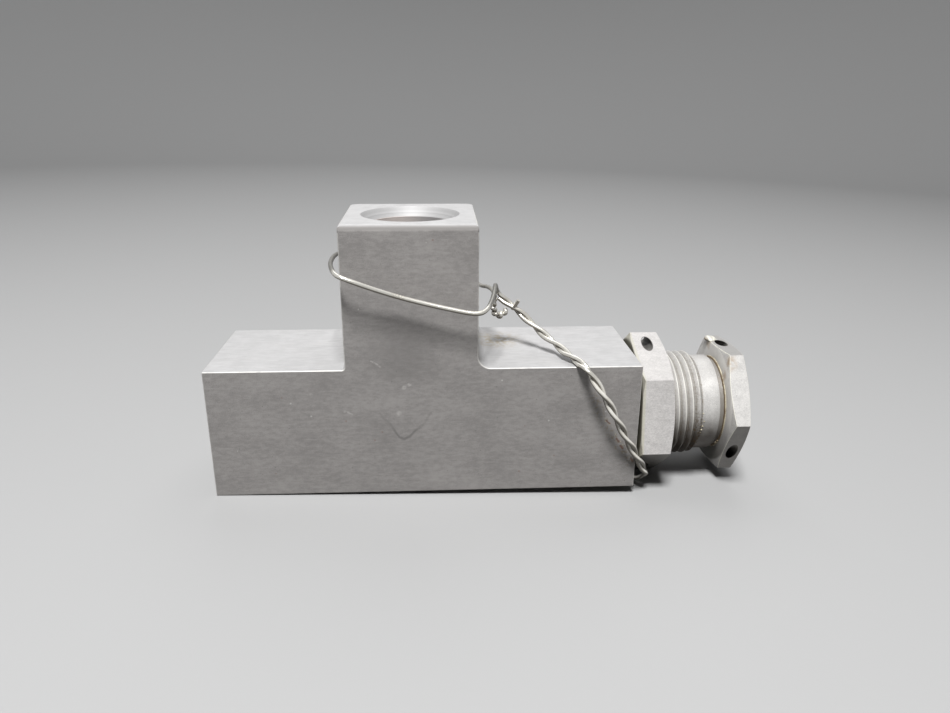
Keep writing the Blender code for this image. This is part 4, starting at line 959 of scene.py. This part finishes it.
def hexagon(name, flats, low, high, turn, chamfer, hole_inset):
    """A slice of hexagon bar on the bore axis: its corners turned off at both ends, two opposite corners
    drilled for lock wire. Gives the piece and the two mouths of each hole."""
    corner = flats / math.sqrt(3)
    outward = ray_across(turn + math.radians(30))
    across = outward.cross(Vector((1, 0, 0)))
    bpy.ops.object.select_all(action="DESELECT")
    bpy.ops.mesh.primitive_cylinder_add(vertices=6, radius=corner, depth=high - low + 2 * PAST)
    piece = bpy.context.object
    axes = Matrix((across, outward, (1, 0, 0))).transposed().to_4x4()
    piece.matrix_world = Matrix.Translation(((low + high) / 2, 0, AXIS_Z)) @ axes
    begin(name)
    done()
    mouths = []
    for corner_index in (1, 4):
        outward = ray_across(turn + math.radians(30 + 60 * corner_index))
        along = Vector((1, 0, 0)).cross(outward)
        centre = Vector(((low + high) / 2, 0, AXIS_Z)) + outward * (corner - hole_inset)
        half = hole_inset * math.tan(math.radians(60))
        mouths.append((centre - along * half, centre + along * half))
        bpy.ops.object.select_all(action="DESELECT")
        bpy.ops.mesh.primitive_cylinder_add(vertices=48, radius=WIRE_HOLE, depth=3 * half, location=centre)
        drill = bpy.context.object
        drill.rotation_euler = along.to_track_quat("Z", "Y").to_euler()
        begin("drill")
        done()
        cut(piece, drill)
    face = FLAT_SHARE * flats / 2
    past_corner = corner + (corner - face) / 2
    drop = chamfer * 1.5
    cut(piece, turned("chamfer_form", [(high, 0), (high, face), (high - drop, past_corner),
                                       (low + drop, past_corner), (low, face), (low, 0)], 144,
                      start=OUT_OF_STEP), "INTERSECT")
    bpy.ops.object.mode_set(mode="EDIT")
    pick("EDGE", lambda edge: edge.calc_face_angle(0) > math.radians(20))
    bpy.ops.mesh.bevel(offset=HEXAGON_EDGE, segments=3, affect="EDGES", clamp_overlap=True)
    bpy.ops.object.mode_set(mode="OBJECT")
    return piece, mouths


plug = turned("adjusting_plug_body", [
    (X_HEAD + HEAD_THICKNESS / 2, 0), (X_HEAD + HEAD_THICKNESS / 2, GROOVE_RADIUS), (X_GROOVE, GROOVE_RADIUS),
    (X_GROOVE, NECK_RADIUS - 0.08 * MM), (X_GROOVE - 0.08 * MM, NECK_RADIUS),
    (X_NECK - 0.1 * MM, NECK_RADIUS), (X_NECK - 0.1 * MM, NECK_RADIUS - 0.2 * MM),
    (X_THREAD + 0.5 * MM, NECK_RADIUS - 0.2 * MM),
    (X_THREAD, NOSE_RADIUS), (X_GLAND + GLAND_WIDTH, NOSE_RADIUS), (X_GLAND + GLAND_WIDTH, GLAND_RADIUS),
    (X_GLAND, GLAND_RADIUS), (X_GLAND, NOSE_RADIUS), (X_NOSE + 0.5 * MM, NOSE_RADIUS),
    (X_NOSE, NOSE_RADIUS - 0.5 * MM), (X_NOSE, 0)])
rod = lay_along_bar(thread_rod("plug_thread", FINE_PITCH, THREAD_VALLEY, THREAD_ROOT, THREAD_CREST,
                               X_THREAD - MM, X_NECK + 0.4 * MM, 128))
cut(rod, turned("thread_form", [
    (X_NECK, 0), (X_NECK, NECK_RADIUS - 0.02 * MM), (X_NECK - 0.7 * MM, THREAD_CREST + 0.04 * MM),
    (X_THREAD + 1.0 * MM, THREAD_CREST + 0.04 * MM), (X_THREAD, NOSE_RADIUS + 0.02 * MM), (X_THREAD, 0)],
    start=OUT_OF_STEP), "INTERSECT")
head, head_mouths = hexagon("plug_head", HEAD_FLATS, X_HEAD, X_HEAD + HEAD_THICKNESS, HEAD_TURN, HEAD_CHAMFER,
                            HEAD_HOLE_INSET)
bpy.ops.object.select_all(action="DESELECT")
bpy.ops.mesh.primitive_ico_sphere_add(subdivisions=4, radius=LUMP_RADIUS, scale=(1.0, 1.3, 0.5),
                                      location=spot(*LUMP_AT))
lump = begin("head_lump")
done()
cut(head, lump, "UNION")
cut(plug, head, "UNION")
cut(plug, rod, "UNION")
cut(plug, turned("plug_bore", [
    (X_BORE_END + 1.2 * MM, 0), (X_BORE_END, PLUG_BORE), (X_NOSE + 0.3 * MM, PLUG_BORE),
    (X_NOSE, PLUG_BORE + 0.3 * MM), (X_NOSE - PAST, PLUG_BORE + 0.3 * MM), (X_NOSE - PAST, 0)],
    start=OUT_OF_STEP))
PLUG_TONE = (0.645, 0.63, 0.61)
# Painted shade inside the lock wire holes.
HOLE_SHADE = (0.045, 0.04, 0.035, 1)


def in_wire_holes(place, holes):
    """1 inside the drilled holes, each given by its two mouths, and 0 on the surface round them."""
    inside = 0
    for mouth, other in holes:
        along = (other - mouth).normalized()
        offset = place.node("ShaderNodeVectorMath", {"operation": "SUBTRACT"}, {0: place, 1: mouth / MM})
        crossed = place.node("ShaderNodeVectorMath", {"operation": "CROSS_PRODUCT"}, {0: offset, 1: along})
        away = place.node("ShaderNodeVectorMath", {"operation": "LENGTH"}, {0: crossed}, output=1)
        inside = away.rise(WIRE_HOLE / MM + 0.09, WIRE_HOLE / MM + 0.02).most(inside)
    return inside


plug_finish, shader, place, colour, grain = aluminium("plug_aluminium", PLUG_TONE, 1.3)
x, height, off_axis = on_the_bore(place)
side_facing, _, up_facing = facing(place)
marks = lathe_marks(place, 0.09)
lathed = x.rise(X_HEAD / MM + 0.05, X_HEAD / MM - 0.05)
colour = (lathed * marks.rise(0.4, 0.65) * 0.3).blend(colour, tinted(PLUG_TONE, 0.78))
on_thread = x.rise(X_NECK / MM + 0.1, X_NECK / MM - 0.1) * x.rise(X_THREAD / MM, X_THREAD / MM + 0.5)
# Painted shade on the thread's flanks and valleys, and a painted highlight, partly wear, along its crests.
colour = (on_thread * off_axis.rise(7.88, 7.5) * 0.35).blend(colour, (0.34, 0.325, 0.30, 1))
colour = (on_thread * off_axis.rise(7.5, 7.25) * 0.6).blend(colour, (0.14, 0.125, 0.10, 1))
colour = (on_thread * off_axis.rise(7.87, 7.93) * 0.85).blend(colour, (0.90, 0.89, 0.82, 1))
# The neck and thread turn dark brown towards the bottom.
lower_darkening = x.rise(X_HEAD / MM - 0.1, X_HEAD / MM - 0.3) * height.rise(2.3, -3.6)
lower_darkening = lower_darkening * (0.84 + place.cloud(1.5, 4.0).rise(0.35, 0.65) * 0.15)
colour = lower_darkening.blend(colour, (0.06, 0.047, 0.033, 1))
# Painted shade in the narrow groove under the head.
groove_shade = x.rise(X_GROOVE / MM + 0.02, X_GROOVE / MM + 0.1) * x.rise(X_HEAD / MM - 0.02, X_HEAD / MM - 0.08)
colour = (groove_shade * 0.85).blend(colour, (0.10, 0.075, 0.045, 1))
# Painted shade on the neck next to the head.
shade_near_head = x.rise(X_GROOVE / MM - 1.1, X_GROOVE / MM) * lathed
colour = (shade_near_head * 0.4).blend(colour, tinted(PLUG_TONE, 0.55))
neck_edge = x.rise(X_NECK / MM + 0.6, X_NECK / MM - 0.2) * x.rise(X_NECK / MM - 2.4, X_NECK / MM - 0.3)
dirt_noise = place.cloud(0.35, 5.0)
dirt = (neck_edge * 0.8 + on_thread * off_axis.rise(7.8, 7.5) * 0.45) * dirt_noise.rise(0.47, 0.60)
below = height.rise(2.5, -3.5)
colour = (dirt * (0.3 + below * 0.7)).blend(colour, (0.13, 0.085, 0.045, 1))
loose = shaken(place, 1.2, 0.8)
stains = blot(loose, (46.1, -5.9, 18.1), 1.9, 0.8) + blot(loose, (46.1, -4.7, 15.6), 1.2, 0.8)
stains = stains + blot(loose, (46.1, 2.9, 18.2), 1.4, 0.8)
stains = stains.least(1) * place.cloud(0.8, 4.0).rise(0.36, 0.6)
colour = (stains * 0.5).blend(colour, (0.42, 0.28, 0.14, 1))
# Painted light: the head's left face is lightened in its upper part, and painted shade darkens it lower down.
head_face = (x - X_HEAD / MM).size().rise(0.12, 0.02)
colour = (head_face * height.rise(-3.0, 1.0) * 0.7).blend(colour, (0.92, 0.90, 0.86, 1))
shaded = head_face * height.rise(-1.0, -7.5)
colour = (shaded * 0.8).blend(colour, (0.12, 0.11, 0.095, 1))
colour = (stains * 0.5).blend(colour, (0.42, 0.28, 0.14, 1))
# Painted shade: faces that look downwards are darkened.
underside_shade = up_facing.rise(-0.15, -0.6)
colour = (underside_shade * 0.70).blend(colour, (0.13, 0.115, 0.10, 1))
on_head = x.rise(X_HEAD / MM - 0.02, X_HEAD / MM + 0.02)
# Painted shade: faces that look upwards are darkened, the head's most.
top_face_shade = up_facing.rise(0.35, 0.95) * (0.28 + on_head * 0.44)
colour = top_face_shade.blend(colour, tinted(PLUG_TONE, 0.4))
along_axis = side_facing.size()
worn = on_head * along_axis.rise(0.06, 0.2) * along_axis.rise(0.97, 0.9) * off_axis.rise(8.6, 8.9)
colour = (worn * 0.85).blend(colour, (0.88, 0.86, 0.74, 1))
on_lump = blot(place, LUMP_AT, 1.25, 0.35)
# Painted highlight on the lump's upper side and painted shade on its lower side.
colour = (on_lump * up_facing.rise(0.2, 0.8) * 0.4).blend(colour, (0.85, 0.83, 0.74, 1))
colour = (on_lump * up_facing.rise(0.25, -0.2) * 0.8).blend(colour, (0.10, 0.09, 0.06, 1))
colour = (in_wire_holes(place, head_mouths) * 0.85).blend(colour, HOLE_SHADE)
feed(shader, Base_Color=colour, Roughness=0.50 - lathed * 0.12 + dirt * 0.3 + grain * 0.08,
     Normal=bumped(grain * 0.6 + lathed * marks * 0.5, 0.008 * MM))
plug.data.materials.append(plug_finish)
smooth(plug)
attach(plug, "adjuster")
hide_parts("adjusting_plug")

# The plug's seals: an O-ring of the same rubber as the seat's, between two backup rings cut from white
# plastic rod, in the groove round the plug's nose.
plug_ring = moulded_ring("plug_ring_seal", "plug_o_ring", 0.7 * MM)
plug_ring.data.materials.append(rubber)
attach(plug_ring, "adjuster")
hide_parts("plug_o_ring")
white_finish, shader, place = new_finish("white_plastic", 0.0, 0.42)
marks = lathe_marks(place, 0.1)
yellowing = (marks * 0.4 + place.cloud(3.0, 4.0) * 0.6).rise(0.35, 0.7)
feed(shader, Base_Color=yellowing.blend((0.78, 0.77, 0.73, 1), (0.70, 0.67, 0.60, 1)),
     Normal=bumped(marks, 0.005 * MM))
for name, node in (("inner_backup", "inner_backup_ring"), ("outer_backup", "outer_backup_ring")):
    left, right, radius = reach(node)
    backup = turned(name, [(right, radius), (left, radius), (left, GLAND_RADIUS + 0.1 * MM),
                           (right, GLAND_RADIUS + 0.1 * MM)], ring=True)
    eased(backup, 0.08 * MM)
    backup.data.materials.append(white_finish)
    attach(backup, "adjuster")
    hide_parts(node)

# Dried sealant: a brown bead that has crept out under the plug's head and hardened in the groove, with a
# few crumbs left on the neck.
SEALANT_RADIUS = GROOVE_RADIUS + 0.02 * MM
bead = turned("dried_sealant", [
    (X_HEAD + 0.02 * MM, SEALANT_RADIUS - 0.1 * MM), (X_HEAD + 0.02 * MM, SEALANT_RADIUS + 0.30 * MM),
    (X_HEAD - 0.10 * MM, SEALANT_RADIUS + 0.26 * MM), (X_HEAD - 0.17 * MM, SEALANT_RADIUS + 0.12 * MM),
    (X_HEAD - 0.20 * MM, SEALANT_RADIUS), (X_HEAD - 0.22 * MM, SEALANT_RADIUS - 0.1 * MM)],
    180, ring=True)
CRUMBS = [(42.68, -13, 0.12), (42.75, -8, 0.09), (42.9, -2, 0.10), (42.67, 8, 0.08),
          (42.5, -17, 0.11), (45.7, -33, 0.12), (45.6, -37, 0.10), (43.1, 205, 0.13)]
crumbs = []
for along, angle, size in CRUMBS:
    outwards = ray_across(math.radians(angle)) * (NECK_RADIUS + 0.2 * size * MM)
    bpy.ops.object.select_all(action="DESELECT")
    bpy.ops.mesh.primitive_ico_sphere_add(subdivisions=3, radius=size * MM, scale=(1.2, 0.8, 1.0),
                                          location=Vector((along * MM, 0, AXIS_Z)) + outwards)
    crumbs.append(begin("crumb"))
    done()
alone(bead)
for crumb in crumbs:
    crumb.select_set(True)
bpy.ops.object.join()
lumps = bpy.data.textures.new("lumps", "CLOUDS")
lumps.noise_scale = 0.55 * MM
modify(bead, "DISPLACE", texture=lumps, texture_coords="LOCAL", strength=0.12 * MM, mid_level=0.5)
smooth(bead, 80)
sealant_finish, shader, place = new_finish("dried_sealant", 0.0, 0.6)
shade = (place.cloud(1.4, 5.0) * 0.6 + place.cloud(0.15, 3.0) * 0.4).rise(0.36, 0.56)
x, height, off_axis = on_the_bore(place)
lip = x.rise(X_HEAD / MM - 0.13, X_HEAD / MM - 0.05) * off_axis.rise(6.92, 7.02)
shade = shade * height.rise(8.475, 6.475) * (0.15 + lip.most(x.rise(45.6, 45.5)) * 0.85)
feed(shader, Base_Color=shade.blend((0.11, 0.07, 0.035, 1), (0.62, 0.57, 0.42, 1)),
     Normal=bumped(place.cloud(0.08, 4.0), 0.03 * MM))
bead.data.materials.append(sealant_finish)
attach(bead, "adjuster")

# The jam nut: a thin 3/4 inch hexagon nut of the same aluminium, run down the plug's thread against the
# block's end and held there by the lock wire through its lowest corner.
NUT_LOW = 32.7 * MM
NUT_HIGH = NUT_LOW + 5.05 * MM
NUT_FLATS = 19.05 * MM
NUT_TURN = math.radians(9)
NUT_CHAMFER = 0.5 * MM
NUT_HOLE_INSET = 1.375 * MM
NUT_MOUTH = 0.6 * MM
nut, nut_mouths = hexagon("hexagon_jam_nut", NUT_FLATS, NUT_LOW, NUT_HIGH, NUT_TURN, NUT_CHAMFER,
                          NUT_HOLE_INSET)
cut(nut, turned("nut_bore", [
    (NUT_HIGH + PAST, 0), (NUT_HIGH + PAST, FINE_BORE + NUT_MOUTH + PAST), (NUT_HIGH, FINE_BORE + NUT_MOUTH),
    (NUT_HIGH - NUT_MOUTH, FINE_BORE), (NUT_LOW + NUT_MOUTH, FINE_BORE), (NUT_LOW, FINE_BORE + NUT_MOUTH),
    (NUT_LOW - PAST, FINE_BORE + NUT_MOUTH + PAST), (NUT_LOW - PAST, 0)], start=OUT_OF_STEP))
cut(nut, lay_along_bar(thread_rod("nut_tap", FINE_PITCH, FINE_BORE_VALLEY, FINE_BORE - 0.05 * MM,
                                  FINE_BORE_CREST, NUT_LOW - PAST, NUT_HIGH + PAST, 96)))
NUT_TONE = (0.63, 0.61, 0.595)
nut_finish, shader, place, colour, grain = aluminium("nut_aluminium", NUT_TONE, 1.3, (1.6, 1, 1))
x, height, off_axis = on_the_bore(place)
side_facing, _, up_facing = facing(place)
ripple = place.cloud(0.30, 3.0, (3.0, 1.0, 0.8))
colour = (ripple.rise(0.45, 0.65) * 0.25).blend(colour, tinted(NUT_TONE, 0.82))
rim = x.rise(NUT_LOW / MM + 0.75, NUT_LOW / MM + 0.45)
colour = (rim * 0.5).blend(colour, (0.58, 0.56, 0.40, 1))
# Painted shade in the gap where the nut's face meets the block.
joint_shade = x.rise(NUT_LOW / MM + 0.30, NUT_LOW / MM + 0.12)
colour = (joint_shade * 0.9).blend(colour, (0.07, 0.065, 0.045, 1))
# Painted shade: faces that look downwards are darkened.
underside_shade = up_facing.rise(-0.15, -0.6)
colour = (underside_shade * 0.78).blend(colour, (0.10, 0.095, 0.085, 1))
# Painted shade: faces that look upwards are darkened.
top_face_shade = up_facing.rise(0.5, 0.95) * 0.32
colour = top_face_shade.blend(colour, tinted(NUT_TONE, 0.5))
along_axis = side_facing.size()
worn = along_axis.rise(0.06, 0.2) * along_axis.rise(0.97, 0.9) * off_axis.rise(9.0, 9.3) * (1 - joint_shade)
colour = (worn * 0.7).blend(colour, (0.88, 0.87, 0.82, 1))
# Painted shade inside the nut's tapped bore.
thread_bore_shade = off_axis.rise(8.15, 7.9)
colour = (thread_bore_shade * 0.6).blend(colour, (0.14, 0.13, 0.11, 1))
colour = (in_wire_holes(place, nut_mouths) * 0.85).blend(colour, HOLE_SHADE)
feed(shader, Base_Color=colour, Roughness=0.5 + grain * 0.12 - worn * 0.12,
     Normal=bumped(grain * 0.5 + ripple * 0.7, 0.010 * MM))
nut.data.materials.append(nut_finish)
smooth(nut)
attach(nut, "valve_body")
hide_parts("jam_nut")

# The lock wire: one length of 0.025 inch stainless wire. From a cut end beside the loop it winds down to
# the nut, hooks through the nut's lowest corner, winds back up round itself, goes once round the upright
# and finishes in a short curled tail.
WIRE_RADIUS = 0.3175 * MM
TWIST_PITCH = 8.05 * MM
TWIST_SPREAD = 0.319 * MM
TWIST_STEPS = 8
TWIST_START = math.radians(243)
TAIL_PITCH = 0.86 * MM
TAIL_SPREAD = 0.21 * MM


def smooth_through(knots, per_span):
    """Points along a smooth curve through the knots."""
    points = []
    for i in range(len(knots) - 1):
        before = knots[max(i - 1, 0)]
        a, b = knots[i], knots[i + 1]
        after = knots[min(i + 2, len(knots) - 1)]
        for j in range(per_span):
            t = j / per_span
            points.append(0.5 * (2 * a + (b - before) * t + (2 * before - 5 * a + 4 * b - after) * t ** 2
                                 + (3 * a - before - 3 * b + after) * t ** 3))
    points.append(knots[-1])
    return points


def wound_on(centre_line, spread, pitch, steps, start_angle):
    """Points of a strand that winds left-handed round a centre line, which is given finely enough to walk."""
    strand = []
    travelled = 0.0
    side = None
    next_stop = 0.0
    for a, b in zip(centre_line, centre_line[1:]):
        along = (b - a).normalized()
        if side is None:
            side = along.orthogonal().normalized()
        side = (side - along * side.dot(along)).normalized()
        other = along.cross(side)
        length = (b - a).length
        while next_stop <= travelled + length:
            spot = a + along * (next_stop - travelled)
            angle = start_angle - math.tau * next_stop / pitch
            strand.append(spot + (side * math.cos(angle) + other * math.sin(angle)) * spread)
            next_stop += pitch / steps
        travelled += length
    return strand


front_mouth, back_mouth = nut_mouths[1]
into_hole = (back_mouth - front_mouth).normalized()
centre_knots = [
    spot(12.88, 0.6, 26.59), spot(15.58, -0.3, 24.65), spot(17.95, -1.9, 22.64), spot(20.49, -4.2, 20.85),
    spot(22.4, -7.6, 19.92), spot(23.96, -10.5, 19.3), spot(25.0, -11.3, 17.92), spot(26.4, -11.9, 15.82),
    spot(28.21, -12.0, 12.64), spot(30.12, -11.4, 9.06), spot(32.43, -10.2, 5.04), spot(34.29, -8.5, 1.77)]
centre = smooth_through(centre_knots, 8)
strand_a = wound_on(centre, TWIST_SPREAD, TWIST_PITCH, TWIST_STEPS, TWIST_START)
strand_b = wound_on(centre, TWIST_SPREAD, TWIST_PITCH, TWIST_STEPS, TWIST_START + math.pi)
hook = [
    spot(35.0, -6.9, 0.55), spot(35.22, -5.1, 0.55), front_mouth + into_hole * 0.2 * MM,
    (front_mouth + back_mouth) / 2, back_mouth + into_hole * 0.5 * MM, spot(34.9, 1.9, -0.68),
    spot(33.6, 2.2, -0.8), spot(32.45, 1.0, -0.82), spot(32.1, -1.2, -0.82), spot(32.25, -3.6, -0.75),
    spot(33.0, -5.8, -0.4), spot(33.7, -7.3, 0.2)]
loop = [
    spot(12.52, 0.4, 27.5), spot(12.2, -0.6, 28.6), spot(11.94, -2.4, 28.85), spot(11.68, -4.6, 28.8),
    spot(11.26, -7.2, 28.49), spot(10.62, -9.8, 28.09), spot(9.91, -11.4, 27.83), spot(9.02, -11.9, 27.67),
    spot(7.2, -11.9, 27.86), spot(2.66, -11.7, 28.85), spot(-1.22, -11.7, 29.9), spot(-4.39, -12.0, 31.02),
    spot(-7.1, -12.2, 32.07), spot(-8.66, -12.0, 32.64), spot(-9.43, -11.3, 32.87), spot(-10.12, -9.3, 33.05),
    spot(-11.0, -4.0, 32.8), spot(-11.3, 2.0, 32.46), spot(-11.1, 7.0, 31.9), spot(-10.1, 10.3, 31.3),
    spot(-6.0, 11.1, 30.3), spot(0.0, 10.8, 29.2), spot(6.0, 10.7, 27.9), spot(9.5, 10.5, 26.7),
    spot(10.3, 9.0, 26.4), spot(10.75, 7.0, 26.58), spot(11.25, 5.0, 27.0), spot(11.8, 3.0, 27.15),
    spot(12.15, 1.4, 26.9)]
tail_knots = [spot(12.13, 0.7, 26.1), spot(11.94, 0.3, 25.2), spot(12.18, 0.1, 24.23),
              spot(12.81, 0.1, 23.81), spot(13.44, 0.2, 24.13), spot(13.95, 0.6, 24.5)]
tail = wound_on(smooth_through(tail_knots, 8), TAIL_SPREAD, TAIL_PITCH, TWIST_STEPS, math.pi)
joined_hook = smooth_through([strand_a[-1]] + hook + [strand_b[-1]], 3)[1:-1]
joined_loop = smooth_through([strand_b[0]] + loop + [tail[0]], 3)[1:-1]
route = smooth_through(strand_a + joined_hook + strand_b[::-1] + joined_loop + tail, 3)
stub = round_wire("wire_stub", [spot(14.75, -0.2, 24.9), spot(15.15, -0.6, 25.6), spot(15.56, -0.9, 26.4)],
                  0.9 * WIRE_RADIUS)
wire = round_wire("twisted_lock_wire", route, WIRE_RADIUS)
stub.select_set(True)
bpy.ops.object.join()
wire_finish, shader, place = new_finish("lockwire_steel", 0.6, 0.30)
tarnish = (place.cloud(1.6, 4.0) * 0.6 + place.cloud(0.15, 3.0) * 0.4).rise(0.36, 0.66)
colour = tarnish.blend((0.92, 0.90, 0.84, 1), (0.74, 0.71, 0.64, 1))
x, y, z = place.parts()
# Painted shade: the wire's underside is darkened.
underside_shade = facing(place)[2].rise(0.25, -0.30)
colour = (underside_shade * 0.88).blend(colour, (0.11, 0.095, 0.07, 1))
# Painted shade on the wire's bends and back run round the upright, which catch no highlight.
bend_shade = (0 - y).rise(11.2, 9.6) * z.rise(27.0, 27.6)
colour = (bend_shade * 0.8).blend(colour, (0.20, 0.195, 0.18, 1))
low_run = z.rise(19.5, 16.5)
feed(shader, Base_Color=colour, Metallic=0.6 - low_run * 0.35, Roughness=0.18 + tarnish * 0.10 + bend_shade * 0.15,
     Normal=bumped(place.cloud(0.07, 3.0), 0.004 * MM))
wire.data.materials.append(wire_finish)
smooth(wire, 50)
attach(wire, "valve_body")
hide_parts("lockwire")

# The stand: a pale round sweep, floor and wall in one, tilted so that the block's lower left edge and the
# nut's lowest corner both touch it, as they do where the real valve lies. A small lamp high in front, a wide
# one behind and a dim grey room light it.
NUT_DROP = 1.34 * MM
TILT = math.atan2(NUT_DROP, 32.9 * MM - BAR_LEFT)
BEND = 0.2
bowl = [(0, 0)]
for step in range(13):
    angle = math.radians(90) * step / 12
    bowl.append((BEND - BEND * math.cos(angle), 0.5 + BEND * math.sin(angle)))
sweep = turned("pale_sweep", bowl + [(0.7, 0.7)], upright=True)
tipped = Matrix.Translation((BAR_LEFT, 0, 0)) @ Matrix.Rotation(TILT, 4, "Y")
sweep.matrix_world = tipped @ Matrix.Translation((-BAR_LEFT, 0, 0))
alone(sweep)
bpy.ops.object.transform_apply(location=True, rotation=True, scale=True)
bpy.ops.object.shade_smooth()
floor_finish, shader, place = new_finish("pale_floor", 0.0, 0.8)
rays = place.tree.nodes.new("ShaderNodeLightPath").outputs
seen = Shade(place.tree, rays["Is Camera Ray"])
glossy = Shade(place.tree, rays["Is Glossy Ray"])
through = Shade(place.tree, rays["Is Transmission Ray"])
feed(shader, Base_Color=seen.most(glossy).most(through).blend((0.10, 0.10, 0.10, 1), (0.39, 0.39, 0.39, 1)))
sweep.data.materials.append(floor_finish)


def area_lamp(name, place, target, size, power):
    """A square soft lamp at a place, turned to a target."""
    bpy.ops.object.light_add(type="AREA", location=place)
    lamp = bpy.context.object
    lamp.name = name
    lamp.data.size = size
    lamp.data.energy = power
    lamp.rotation_euler = (Vector(place) - Vector(target)).to_track_quat("Z", "Y").to_euler()


middle = (0, 0, 0.02)
area_lamp("key", (-0.024, -0.236, 0.493), middle, 0.12, 4.35)
area_lamp("back", (0.03, 0.40, 0.50), middle, 0.50, 1.2)
world = bpy.data.worlds.new("grey_room")
bpy.context.scene.world = world
world.use_nodes = True
world.node_tree.nodes["Background"].inputs["Color"].default_value = (0.95, 0.97, 1.0, 1)
world.node_tree.nodes["Background"].inputs["Strength"].default_value = 0.15

# The camera stands where the photograph was taken from, in front of the block's middle and a little above
# it, with a wide lens.
CAMERA_PITCH = 0.3430164
CAMERA_YAW = 0.0563357
CAMERA_ROLL = 0.0051034
forward = Vector((math.sin(CAMERA_YAW) * math.cos(CAMERA_PITCH),
                  math.cos(CAMERA_YAW) * math.cos(CAMERA_PITCH), -math.sin(CAMERA_PITCH)))
level = Vector((math.cos(CAMERA_YAW), -math.sin(CAMERA_YAW), 0))
upward = level.cross(forward)
right = level * math.cos(CAMERA_ROLL) + upward * math.sin(CAMERA_ROLL)
top = upward * math.cos(CAMERA_ROLL) - level * math.sin(CAMERA_ROLL)
bpy.ops.object.camera_add()
camera = bpy.context.object
axes = Matrix((right, top, -forward)).transposed().to_4x4()
camera.matrix_world = Matrix.Translation(spot(3.258878, -106.322389, 55.449947)) @ axes
camera.data.sensor_fit = "HORIZONTAL"
camera.data.sensor_width = 36
camera.data.lens = 28.3348
camera.data.clip_start = 0.001
bpy.context.scene.camera = camera
bpy.context.scene.view_settings.view_transform = "Standard"
